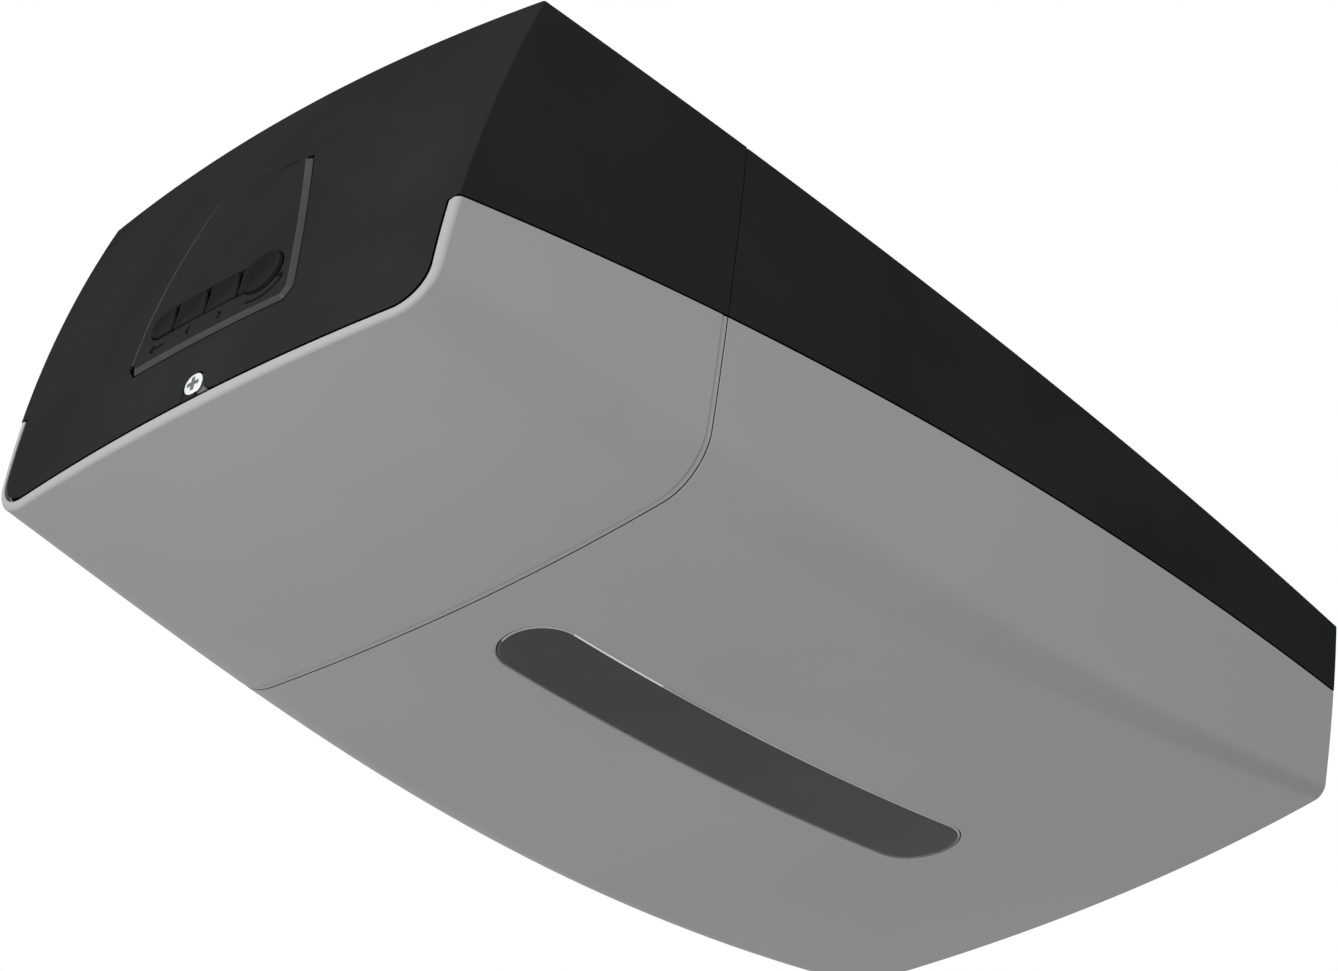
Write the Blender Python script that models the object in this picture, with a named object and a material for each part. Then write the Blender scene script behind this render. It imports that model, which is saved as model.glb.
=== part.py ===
"""Garage door opener head: a motor unit that hangs under a ceiling rail.

Metres, +Z up. The origin is on the raised seat for the rail, on top of the steel chassis plate. +Y runs from the
control panel at the front towards the rear. The lower face is what a person standing in the garage sees.
"""

import math

import bmesh
import bpy
from mathutils import Matrix, Vector

# Outer form. v is the distance behind the front top corners, z is zero at the top edge.
FRONT_Y = -0.180
HEAD_LENGTH = 0.3705
HALF_WIDTH = (0.0913, 0.0750, -0.1106, -0.1265)
SIDE_BULGE = (-0.0460, -0.2897)
DEPTH = (0.1304, 0.0047, -0.4547, -0.0170)
CROWN = 0.0018
SPLIT_DEPTH = (0.0842, -0.2337, 0.2508, -0.1119)
EDGE_RADIUS = (0.0170, 0.0795, -0.9643, 2.8180, -2.8100)
FRONT_BOW_TOP = 0.0076
FRONT_BOW_BOTTOM = 0.0065
FRONT_LEAN = (0.3285, 1.1675)
REAR_BOW = 0.0078
REAR_LEAN = (0.0056, -0.5444)
REAR_HALF_WIDTH = 0.0971

WALL = 0.0025
GAP = 0.0004
SEAM_V = 0.0840
SEAM_BOW = 0.0029
PLATE_THICKNESS = 0.0015
SEAT_HEIGHT = 0.0005

# Front panel, bezel and keys.
PANEL_HALF_WIDTH = 0.0875
PANEL_BOTTOM = -0.1268
PANEL_CORNER = 0.0125
BEZEL_TOP = -0.0372
BEZEL_BOTTOM = -0.1045
BEZEL_HALF_WIDTHS = ((0.0000, 0.0200), (0.0220, 0.0266), (0.0450, 0.0313), (0.0620, 0.0338))
BEZEL_PROUD = 0.0010
KEY_Z = -0.0890
KEY_HALF_HEIGHT = 0.0055
ENTER_X = 0.0195
ENTER_RADIUS = 0.0078
SCREW_Z = -0.1220

# Lens in the rear cover.
LENS_V = (0.1056, 0.3005)
LENS_HALF_WIDTH = 0.0142

# Drive.
SHAFT_Y = -0.045
DRIVE_Z = -0.033
MODULE = 0.0015
WHEEL_TEETH = 30
WORM_PITCH_RADIUS = 0.0070
WHEEL_PITCH_RADIUS = MODULE * WHEEL_TEETH / 2
WORM_X = WHEEL_PITCH_RADIUS + WORM_PITCH_RADIUS
WORM_LEAD = math.pi * MODULE
SHAFT_RADIUS = 0.0060
ROTOR_RADIUS = 0.0040


def polynomial(coefficients, value):
    return sum(c * value**n for n, c in enumerate(coefficients))


def side_x(v, z):
    return polynomial(HALF_WIDTH, v) + SIDE_BULGE[0] * z + SIDE_BULGE[1] * z * z


def split_z(v):
    return -polynomial(SPLIT_DEPTH, v)


def front_v(x, z):
    bow = FRONT_BOW_TOP + (FRONT_BOW_BOTTOM - FRONT_BOW_TOP) * -z / DEPTH[0]
    return -bow * (1 - (x / HALF_WIDTH[0]) ** 2) + FRONT_LEAN[0] * z + FRONT_LEAN[1] * z * z


def rear_v(x, z):
    bow = REAR_BOW * (1 - (x / REAR_HALF_WIDTH) ** 2)
    return HEAD_LENGTH + bow + REAR_LEAN[0] * z + REAR_LEAN[1] * z * z


def seam_y(x):
    return FRONT_Y + SEAM_V + SEAM_BOW * (1 - (x / HALF_WIDTH[0]) ** 2)


def new_object(name, mesh_builder, smooth=None):
    """Links a named object whose mesh is whatever mesh_builder leaves in the bmesh it is given."""
    bm = bmesh.new()
    mesh_builder(bm)
    bmesh.ops.remove_doubles(bm, verts=bm.verts, dist=1e-6)
    bmesh.ops.recalc_face_normals(bm, faces=bm.faces)
    mesh = bpy.data.meshes.new(name)
    bm.to_mesh(mesh)
    bm.free()
    obj = bpy.data.objects.new(name, mesh)
    bpy.context.scene.collection.objects.link(obj)
    if smooth is not None:
        shade(obj, smooth)
    return obj


def shade(obj, degrees):
    mesh = obj.data
    mesh.shade_smooth()
    mesh.set_sharp_from_angle(angle=math.radians(degrees))


def combine(obj, other, operation):
    """Applies one exact Boolean to obj and removes the other solid."""
    modifier = obj.modifiers.new(operation.lower(), "BOOLEAN")
    modifier.operation = operation
    modifier.solver = "EXACT"
    modifier.object = other
    graph = bpy.context.evaluated_depsgraph_get()
    result = bpy.data.meshes.new_from_object(obj.evaluated_get(graph))
    obj.modifiers.clear()
    obj.data = result
    bpy.data.objects.remove(other)
    return obj


def cut(obj, *tools):
    for tool in tools:
        combine(obj, tool, "DIFFERENCE")
    return obj


def join(obj, *others):
    for other in others:
        combine(obj, other, "UNION")
    return obj


def keep(obj, *regions):
    for region in regions:
        combine(obj, region, "INTERSECT")
    return obj


def prism(name, outline, axis, low, high, smooth=None):
    """Extrudes a 2-D outline along X (y, z points), Y (x, z points) or Z (x, y points)."""

    def place(point, height):
        a, b = point
        return {"X": (height, a, b), "Y": (a, height, b), "Z": (a, b, height)}[axis]

    def build(bm):
        lower = [bm.verts.new(place(p, low)) for p in outline]
        upper = [bm.verts.new(place(p, high)) for p in outline]
        bm.faces.new(lower)
        bm.faces.new(upper)
        for n in range(len(outline)):
            m = (n + 1) % len(outline)
            bm.faces.new((lower[n], lower[m], upper[m], upper[n]))

    return new_object(name, build, smooth)


def box(name, low, high):
    outline = [(low[0], low[1]), (high[0], low[1]), (high[0], high[1]), (low[0], high[1])]
    return prism(name, outline, "Z", low[2], high[2])


def circle(radius, segments, centre=(0.0, 0.0), start=0.0, sweep=2 * math.pi):
    """Points on a circle, or on an arc with both its ends when sweep is less than a full turn."""
    full = abs(sweep) > 6.28
    steps = segments if full else segments + 1
    angles = [start + sweep * n / segments for n in range(steps)]
    return [(centre[0] + radius * math.cos(a), centre[1] + radius * math.sin(a)) for a in angles]


def cylinder(name, radius, axis, low, high, centre=(0.0, 0.0), segments=24):
    return prism(name, circle(radius, segments, centre), axis, low, high, 40)


def lathe(name, profile, axis, centre=(0.0, 0.0), segments=24):
    """Turns a closed (radius, height) profile about an axis through centre."""

    def build(bm):
        rings = []
        for radius, height in profile:
            ring = []
            for a, b in circle(radius, segments, centre):
                point = {"X": (height, a, b), "Y": (a, height, b), "Z": (a, b, height)}[axis]
                ring.append(bm.verts.new(point))
            rings.append(ring)
        for n, ring in enumerate(rings):
            after = rings[(n + 1) % len(rings)]
            if profile[n][0] == 0 and profile[(n + 1) % len(profile)][0] == 0:
                continue
            for s in range(segments):
                t = (s + 1) % segments
                bm.faces.new((ring[s], ring[t], after[t], after[s]))

    return new_object(name, build, 40)


def sheet(name, path, thickness, axis, low, high):
    """Bends a strip of sheet metal along a 2-D path and extrudes it across its width."""
    offset = []
    for n, (a, b) in enumerate(path):
        before = Vector(path[max(n - 1, 0)])
        here = Vector((a, b))
        after = Vector(path[min(n + 1, len(path) - 1)])
        first = (here - before).normalized() if n > 0 else (after - here).normalized()
        second = (after - here).normalized() if n < len(path) - 1 else first
        normal = Vector((-first.y - second.y, first.x + second.x)).normalized()
        scale = thickness / max(0.2, normal.dot(Vector((-first.y, first.x))))
        offset.append((a + normal.x * scale, b + normal.y * scale))
    return prism(name, path + offset[::-1], axis, low, high)


def comb(name, count, pitch, notch, depth, height, axis, low, high, origin):
    """A block with a row of notches in its outer face, as on a terminal strip."""
    a0, b0 = origin
    outline = [(a0, b0 + height), (a0, b0)]
    for n in range(count):
        left = a0 + n * pitch + (pitch - notch) / 2
        outline += [(left, b0), (left, b0 + depth), (left + notch, b0 + depth), (left + notch, b0)]
    outline += [(a0 + count * pitch, b0), (a0 + count * pitch, b0 + height)]
    return prism(name, outline, axis, low, high)


def form(name, inset, top=0.0, stations=10, side_rows=3, arc_rows=4, columns=6):
    """The head's outer solid, moved in by inset on every face but the top."""

    def chain(row, v):
        bottom = -(polynomial(DEPTH, v) - inset)
        radius = max(polynomial(EDGE_RADIUS, v) - inset, 0.002)
        centre_z = bottom + radius
        if row <= side_rows:
            z = top + (centre_z - top) * row / side_rows
            return side_x(v, z) - inset, z
        angle = (row - side_rows) / arc_rows * math.pi / 2
        x = side_x(v, centre_z) - inset - radius
        return x + radius * math.cos(angle), centre_z - radius * math.sin(angle)

    rows = side_rows + arc_rows

    def position(station, row, column):
        share = station / stations
        v = share * HEAD_LENGTH
        for _ in range(8):
            x, z = chain(row, v)
            share_x = 1 - 2 * column / columns
            x *= share_x
            if row == rows:
                z -= CROWN * (1 - share_x**2)
            front = front_v(x, z) + inset
            v = front + share * (rear_v(x, z) - inset - front)
        return x, v + FRONT_Y, z

    def build(bm):
        verts = {}

        def vert(key):
            if key not in verts:
                verts[key] = bm.verts.new(position(*key))
            return verts[key]

        def quad(a, b, c, d):
            bm.faces.new([vert(k) for k in (a, b, c, d)])

        for s in range(stations):
            for i in range(rows):
                for j in (0, columns):
                    quad((s, i, j), (s + 1, i, j), (s + 1, i + 1, j), (s, i + 1, j))
            for j in range(columns):
                for i in (0, rows):
                    quad((s, i, j), (s + 1, i, j), (s + 1, i, j + 1), (s, i, j + 1))
        for i in range(rows):
            for j in range(columns):
                for s in (0, stations):
                    quad((s, i, j), (s, i + 1, j), (s, i + 1, j + 1), (s, i, j + 1))

    return new_object(name, build)


def front_region(back_off):
    xs = [(-0.13 + 0.26 * n / 20) for n in range(21)]
    outline = [(x, seam_y(x) - back_off) for x in xs] + [(0.13, -0.30), (-0.13, -0.30)]
    return prism("front_region", outline, "Z", -0.20, 0.05)


def rear_region(back_off):
    xs = [(-0.13 + 0.26 * n / 20) for n in range(21)]
    outline = [(x, seam_y(x) + back_off) for x in xs] + [(0.13, 0.30), (-0.13, 0.30)]
    return prism("rear_region", outline, "Z", -0.20, 0.05)


def lower_region(shift):
    vs = [-0.05 + 0.47 * n / 24 for n in range(25)]
    outline = [(FRONT_Y + v, split_z(v) + shift) for v in vs]
    outline += [(FRONT_Y + 0.42, -0.20), (FRONT_Y - 0.05, -0.20)]
    return prism("lower_region", outline, "X", -0.14, 0.14)


def panel_region(grow):
    """The part of the front wall, below the split, that belongs to the black housing."""
    half = PANEL_HALF_WIDTH + grow
    low = PANEL_BOTTOM - grow
    radius = PANEL_CORNER
    right = circle(radius, 6, (half - radius, low + radius), 0, -math.pi / 2)
    left = [(-x, z) for x, z in reversed(right)]
    outline = [(half, -0.0700)] + right + left + [(-half, -0.0700)]
    return prism("panel_region", outline, "Y", -0.26, -0.150)


def shell(name):
    return cut(form(name, 0.0), form("hollow", WALL, top=0.010))


def ledge(name, region):
    """An inward ledge under the chassis plate that the housing hangs from."""
    rim = cut(form(name, 0.0015, top=0.012), form("hollow", 0.0090, top=0.020))
    slab = box("slab", (-0.13, -0.25, -0.0045), (0.13, 0.25, -PLATE_THICKNESS - 0.0003))
    return keep(rim, slab, region)


SCREW_PLACES = [(-0.0850, -0.1350), (0.0850, -0.1350), (-0.0910, 0.1300), (0.0910, 0.1300)]


def boss(place):
    outer = cylinder("boss", 0.0048, "Z", -0.0180, -PLATE_THICKNESS - 0.0003, place, 20)
    return outer


def pilot(place):
    return cylinder("pilot", 0.0022, "Z", -0.0150, 0.010, place, 16)


def bezel_outline(grow):
    right = [(half + grow, BEZEL_TOP - drop) for drop, half in BEZEL_HALF_WIDTHS]
    low = BEZEL_BOTTOM - grow
    right[0] = (right[0][0], BEZEL_TOP + grow)
    right[-1] = (right[-1][0], low + 0.0040)
    right.append((right[-1][0] - 0.0030, low))
    left = [(-x, z) for x, z in reversed(right)]
    arch = [(-0.0100, BEZEL_TOP + grow + 0.0012), (0.0, BEZEL_TOP + grow + 0.0016)]
    arch.append((0.0100, BEZEL_TOP + grow + 0.0012))
    return right + left + arch


def build_shells():
    lens_region_front = FRONT_Y + LENS_V[0]
    lens_region_rear = FRONT_Y + LENS_V[1]

    front = keep(shell("front_housing"), front_region(GAP / 2))
    skirt = cut(lower_region(0.0), panel_region(0.0))
    cut(front, skirt)
    join(front, ledge("front_ledge", front_region(GAP / 2)))
    for place in SCREW_PLACES[:2]:
        join(front, keep(boss(place), form("inside", 0.0012, top=0.010)))
        cut(front, pilot(place))
    cut(front, prism("bezel_hole", bezel_outline(0.0004), "Y", -0.26, -0.150))
    cut(front, prism("screw_slot", slot_outline(0.0043), "Y", -0.26, -0.150))
    shade(front, 30)

    rear = cut(keep(shell("rear_housing"), rear_region(GAP / 2)), lower_region(0.0))
    join(rear, ledge("rear_ledge", rear_region(GAP / 2)))
    for place in SCREW_PLACES[2:]:
        join(rear, keep(boss(place), form("inside", 0.0012, top=0.010)))
        cut(rear, pilot(place))
    shade(rear, 30)

    lower = keep(shell("front_cover"), front_region(GAP / 2), lower_region(-GAP))
    cut(lower, panel_region(GAP))
    pad = prism("screw_pad", pad_outline(0.0038), "Y", -0.26, -0.150)
    keep(pad, cut(form("pad_skin", 0.0012), form("pad_hollow", 0.0080)))
    behind = prism("screw_block", block_outline(), "Y", -0.26, -0.150)
    keep(behind, cut(form("block_skin", WALL + 0.0006), form("block_hollow", 0.0100)))
    foot = box("screw_foot", (-0.0070, -0.2040, -0.1290), (0.0070, -0.1960, -0.1262))
    join(lower, join(pad, behind), foot)
    cut(lower, cylinder("screw_bore", 0.0022, "Y", -0.26, -0.190, (0.0, SCREW_Z), 16))
    shade(lower, 30)

    rear_lower = keep(shell("rear_cover"), rear_region(GAP / 2), lower_region(-GAP))
    hole = prism("lens_hole", lens_outline(lens_region_front, lens_region_rear, 0.0), "Z", -0.20, -0.02)
    cut(rear_lower, hole)
    shade(rear_lower, 30)

    lens = prism("light_lens", lens_outline(lens_region_front, lens_region_rear, -0.0004), "Z", -0.20, -0.02)
    keep(lens, cut(form("lens_skin", 0.0006), form("lens_hollow", 0.0044)))
    flange = prism("lens_flange", lens_outline(lens_region_front, lens_region_rear, 0.0025), "Z", -0.20, -0.02)
    keep(flange, cut(form("flange_skin", WALL + 0.0004), form("flange_hollow", 0.0044)))
    join(lens, flange)
    shade(lens, 30)

    bezel = prism("control_bezel", bezel_outline(0.0), "Y", -0.26, -0.150)
    keep(bezel, cut(form("bezel_skin", -BEZEL_PROUD), form("bezel_hollow", WALL)))
    cut(bezel, key_slot())
    for place in ((-0.0270, -0.0105), (0.0270, -0.0105), (-0.0222, 0.0300), (0.0222, 0.0300)):
        join(bezel, on_panel(cylinder("post", 0.0020, "Y", 0.0015, 0.0094, place, 12)))
    shade(bezel, 30)


def slot_outline(half):
    top = circle(half, 12, (0.0, SCREW_Z), 0, math.pi)
    return top + [(-half, -0.1320), (half, -0.1320)]


def pad_outline(half):
    top = circle(half, 12, (0.0, SCREW_Z), 0, math.pi)
    return top + [(-half, -0.1285), (half, -0.1285)]


def block_outline():
    return [(0.0070, -0.1160), (-0.0070, -0.1160), (-0.0070, -0.1290), (0.0070, -0.1290)]


def lens_outline(start, end, grow):
    half = LENS_HALF_WIDTH + grow
    squash = 0.90
    front = [(x, start - grow + (half + y) * squash) for x, y in circle(half, 10, start=math.pi, sweep=math.pi)]
    rear = [(x, end + grow - (half - y) * squash) for x, y in circle(half, 10, sweep=math.pi)]
    return front + rear


def panel_frame():
    """Rows: origin on the panel face at the keys, local +Y into the body, local +Z up the panel."""
    slope = FRONT_LEAN[0] + 2 * FRONT_LEAN[1] * KEY_Z
    slope -= (FRONT_BOW_BOTTOM - FRONT_BOW_TOP) * -1 / DEPTH[0]
    tilt = math.atan(slope)
    origin = Vector((0.0, FRONT_Y + front_v(0.0, KEY_Z), KEY_Z))
    return Matrix.Translation(origin) @ Matrix.Rotation(-tilt, 4, "X")


def on_panel(obj):
    obj.data.transform(panel_frame())
    return obj


def key_slot():
    half = KEY_HALF_HEIGHT + 0.0004
    end = circle(half, 10, (-0.0213, 0.0), math.pi / 2, math.pi)
    slot = prism("key_slot", end + [(0.0150, -half), (0.0150, half)], "Y", -0.010, 0.010)
    ring = cylinder("enter_slot", ENTER_RADIUS + 0.0004, "Y", -0.012, 0.012, (ENTER_X, 0.0), 32)
    return on_panel(join(slot, ring))


def key(name, outline, flange):
    """A key cap with a wider foot behind the bezel; it slides along the panel's normal."""
    cap = prism(name, outline, "Y", -0.0004, 0.0043)
    foot = prism("foot", flange, "Y", 0.0041, 0.0050)
    return on_panel(join(cap, foot))


def rectangle(x0, x1, half):
    return [(x0, -half), (x1, -half), (x1, half), (x0, half)]


def build_panel():
    half = KEY_HALF_HEIGHT
    rounded = circle(half, 10, (-0.0213, 0.0), math.pi / 2, math.pi) + [(-0.0172, -half), (-0.0172, half)]
    key("button_back", rounded, rectangle(-0.0225, -0.0172, half + 0.0010))
    key("button_down", rectangle(-0.0162, -0.0040, half), rectangle(-0.0162, -0.0040, half + 0.0010))
    key("button_up", rectangle(-0.0030, 0.0096, half), rectangle(-0.0030, 0.0096, half + 0.0010))
    key("button_enter", circle(ENTER_RADIUS, 28, (ENTER_X, 0.0)), circle(ENTER_RADIUS + 0.0010, 28, (ENTER_X, 0.0)))
    for n, x in enumerate((-0.0210, -0.0101, 0.0033, ENTER_X)):
        body = prism(f"tact_switch_{n + 1}", rectangle(x - 0.003, x + 0.003, 0.003), "Y", 0.0070, 0.0094)
        join(body, cylinder("plunger", 0.0016, "Y", 0.0065, 0.0075, (x, 0.0), 16))
        on_panel(body)
    board = [(-0.0300, -0.0130), (0.0300, -0.0130), (0.0300, 0.0420), (-0.0300, 0.0420)]
    on_panel(prism("keypad_board", board, "Y", 0.0097, 0.0113))
    screen = [(-0.0180, 0.0120), (0.0180, 0.0120), (0.0180, 0.0370), (-0.0180, 0.0370)]
    module = prism("display_module", screen, "Y", 0.0052, 0.0094)
    glass = [(-0.0160, 0.0140), (0.0160, 0.0140), (0.0160, 0.0350), (-0.0160, 0.0350)]
    cut(module, prism("glass_recess", glass, "Y", 0.0040, 0.0056))
    on_panel(module)

    head = [(0.0, 0.0), (0.0038, 0.0), (0.0036, 0.0008), (0.0018, 0.0009), (0.0018, 0.0070), (0.0, 0.0070)]
    face = FRONT_Y + front_v(0.0, SCREW_Z) + 0.0001
    profile = [(r, face + h) for r, h in head]
    screw = lathe("cover_screw", profile, "Y", (0.0, SCREW_Z), 24)
    for a, b in ((0.0019, 0.0004), (0.0004, 0.0019)):
        low, high = (-a, face - 0.001, SCREW_Z - b), (a, face + 0.0005, SCREW_Z + b)
        cut(screw, box("cross", low, high))


def build_chassis():
    plate = form("top_plate", WALL + 0.0006, top=0.010)
    keep(plate, box("slab", (-0.13, -0.25, -PLATE_THICKNESS), (0.13, 0.25, -SEAT_HEIGHT)))
    join(plate, box("rail_seat", (-0.0235, -0.0100, -0.0010), (0.0235, 0.1520, 0.0)))
    cut(plate, cylinder("shaft_hole", 0.0105, "Z", -0.01, 0.01, (0.0, SHAFT_Y), 32))
    cut(plate, cylinder("cable_hole", 0.0086, "Z", -0.01, 0.01, (-0.060, -0.100), 24))
    for place in SCREW_PLACES:
        cut(plate, cylinder("screw_hole", 0.0025, "Z", -0.01, 0.01, place, 16))
    for n, place in enumerate(SCREW_PLACES):
        head = [(0.0, 0.0021), (0.0026, 0.0019), (0.0040, 0.0007), (0.0040, -0.0002)]
        head += [(0.0018, -0.0002), (0.0018, -0.0130), (0.0, -0.0140)]
        screw = lathe(f"housing_screw_{n + 1}", head, "Z", place, 16)
        x, y = place
        cut(screw, box("cross", (x - 0.0018, y - 0.0004, 0.0009), (x + 0.0018, y + 0.0004, 0.0040)))
        cut(screw, box("cross", (x - 0.0004, y - 0.0018, 0.0009), (x + 0.0004, y + 0.0018, 0.0040)))

    grommet = [(0.0046, -0.0080), (0.0082, -0.0080), (0.0082, -0.0002), (0.0115, -0.0002)]
    grommet += [(0.0108, 0.0024), (0.0046, 0.0024)]
    lathe("cable_grommet", grommet, "Z", (-0.060, -0.100), 24)

    rail = [(0.0440, -0.0002), (0.0250, -0.0002), (0.0250, 0.0200)]
    for side, name in ((-1, "rail_bracket_left"), (1, "rail_bracket_right")):
        path = [(side * x, z) for x, z in rail]
        bracket = sheet(name, path, -side * 0.0015, "Y", -0.0100, 0.1500)
        for y in (0.0200, 0.1200):
            cut(bracket, cylinder("slot", 0.0027, "X", -0.05, 0.05, (y, 0.0120), 16))

    tray = [(-0.1250, -0.0034), (-0.1460, -0.0034), (-0.1460, -0.0960)]
    bracket = sheet("board_bracket", tray, -0.0015, "X", -0.0650, 0.0650)
    cut(bracket, box("window", (-0.0500, -0.16, -0.0860), (0.0500, -0.14, -0.0200)))

    path = [(-0.0960, -0.0019), (-0.0850, -0.0019), (-0.0850, -0.1050), (0.1080, -0.0740)]
    path += [(0.1080, -0.0019), (0.1190, -0.0019)]
    sheet("lamp_bracket", path, -0.0015, "X", -0.0170, 0.0170)
    low, high = Vector((0.0, -0.0700, -0.1050)), Vector((0.0, 0.0960, -0.0783))
    along = (high - low).normalized()
    down = Vector((0.0, along.z, -along.y))
    centre = (low + high) / 2
    lamp = Matrix.Translation(centre) @ Matrix((Vector((1, 0, 0)), along, -down)).transposed().to_4x4()
    board = box("light_board", (-0.0110, -0.0830, -0.0036), (0.0110, 0.0830, -0.0020))
    board.data.transform(lamp)
    for n in range(3):
        y = -0.0600 + 0.0600 * n
        led = box(f"led_{n + 1}", (-0.0027, y - 0.0027, -0.0055), (0.0027, y + 0.0027, -0.0039))
        led.data.transform(lamp)


def build_electronics():
    face = -0.1500
    box("control_board", (-0.0700, face, -0.1000), (0.0700, face + 0.0016, -0.0200))
    near = face - 0.0003
    box("relay_1", (-0.0600, near - 0.0160, -0.0480), (-0.0400, near, -0.0330))
    box("relay_2", (-0.0350, near - 0.0160, -0.0480), (-0.0150, near, -0.0330))
    can = [(0.0, near), (0.0090, near), (0.0090, near - 0.0270), (0.0075, near - 0.0280), (0.0, near - 0.0280)]
    lathe("capacitor", can, "Y", (0.0100, -0.0420), 24)
    fuse = box("fuse_holder", (-0.0600, near - 0.0100, -0.0700), (-0.0340, near, -0.0610))
    cut(fuse, cylinder("fuse_bore", 0.0027, "X", -0.10, -0.0380, (near - 0.0060, -0.0655), 12))
    comb("terminal_mains", 4, 0.0090, 0.0060, 0.0060, 0.0140, "Z", -0.0980, -0.0860, (-0.0640, near - 0.0140))
    comb("terminal_control", 10, 0.0070, 0.0044, 0.0060, 0.0140, "Z", -0.0980, -0.0860, (-0.0100, near - 0.0140))

    x, y, z = -0.0500, 0.0300, -0.0275
    core = box("transformer_core", (x - 0.017, y - 0.030, z - 0.025), (x + 0.017, y + 0.030, z + 0.025))
    for side in (-1, 1):
        mid = y + side * 0.015
        cut(core, box("window", (x - 0.02, mid - 0.005, z - 0.015), (x + 0.02, mid + 0.005, z + 0.015)))
    coil = box("transformer_coil", (x - 0.024, y - 0.0194, z - 0.0145), (x + 0.024, y + 0.0194, z + 0.0145))
    cut(coil, box("limb", (x - 0.0175, y - 0.0105, z - 0.02), (x + 0.0175, y + 0.0105, z + 0.02)))
    path = [(y - 0.0450, -0.0034), (y - 0.0304, -0.0034), (y - 0.0304, z - 0.0254)]
    path += [(y + 0.0304, z - 0.0254), (y + 0.0304, -0.0034), (y + 0.0450, -0.0034)]
    sheet("transformer_strap", path, -0.0015, "X", x - 0.008, x + 0.008)


def toothed(name, teeth, root, tip, axis, low, high, centre, bore, root_share, tip_share, twist=0.0, layers=1):
    """A toothed wheel whose teeth may lean: twist is radians per metre along the axis."""

    def outline(height):
        points = []
        for n in range(teeth):
            for share, radius in ((-root_share, root), (-tip_share, tip), (tip_share, tip), (root_share, root)):
                angle = (n + share) * 2 * math.pi / teeth + twist * (height - (low + high) / 2)
                points.append((centre[0] + radius * math.cos(angle), centre[1] + radius * math.sin(angle)))
        return points

    def build(bm):
        rings = []
        for layer in range(layers + 1):
            height = low + (high - low) * layer / layers
            points = outline(height)
            if axis == "Z":
                rings.append([bm.verts.new((a, b, height)) for a, b in points])
            else:
                rings.append([bm.verts.new((a, height, b)) for a, b in points])
        bm.faces.new(rings[0])
        bm.faces.new(rings[-1])
        for lower, upper in zip(rings, rings[1:]):
            for n in range(len(lower)):
                m = (n + 1) % len(lower)
                bm.faces.new((lower[n], lower[m], upper[m], upper[n]))

    gear = new_object(name, build)
    cut(gear, cylinder("bore", bore, axis, low - 0.01, high + 0.01, centre, 24))
    return gear


def worm(name, low, high, thread_low, thread_high):
    """Rotor shaft with one right-hand thread: at angle a from +Z towards +X the thread lies a / turn ahead."""
    around = 16
    step = WORM_LEAD / 8
    rows = round((thread_high - thread_low) / step)
    tip = WORM_PITCH_RADIUS + MODULE
    root = WORM_PITCH_RADIUS - 1.25 * MODULE
    start = SHAFT_Y - WORM_LEAD / 4

    def radius(y, angle):
        phase = (y - start) / WORM_LEAD - angle / (2 * math.pi)
        offset = abs(phase - round(phase))
        share = min(1.0, max(0.0, (0.27 - offset) / 0.14))
        return root + (tip - root) * share

    def build(bm):
        rings = []
        for height, fixed in ((low, ROTOR_RADIUS), (thread_low - 0.0008, ROTOR_RADIUS)):
            rings.append((height, fixed))
        for n in range(rows + 1):
            rings.append((thread_low + n * step, None))
        rings += [(thread_low + rows * step + 0.0008, ROTOR_RADIUS), (high, ROTOR_RADIUS)]
        loops = []
        for height, fixed in rings:
            loop = []
            for n in range(around):
                angle = 2 * math.pi * n / around
                r = fixed if fixed else radius(height, angle)
                loop.append(bm.verts.new((WORM_X + r * math.sin(angle), height, DRIVE_Z + r * math.cos(angle))))
            loops.append(loop)
        bm.faces.new(loops[0])
        bm.faces.new(loops[-1])
        for first, second in zip(loops, loops[1:]):
            for n in range(around):
                m = (n + 1) % around
                bm.faces.new((first[n], first[m], second[m], second[n]))

    return new_object(name, build, 40)


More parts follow.
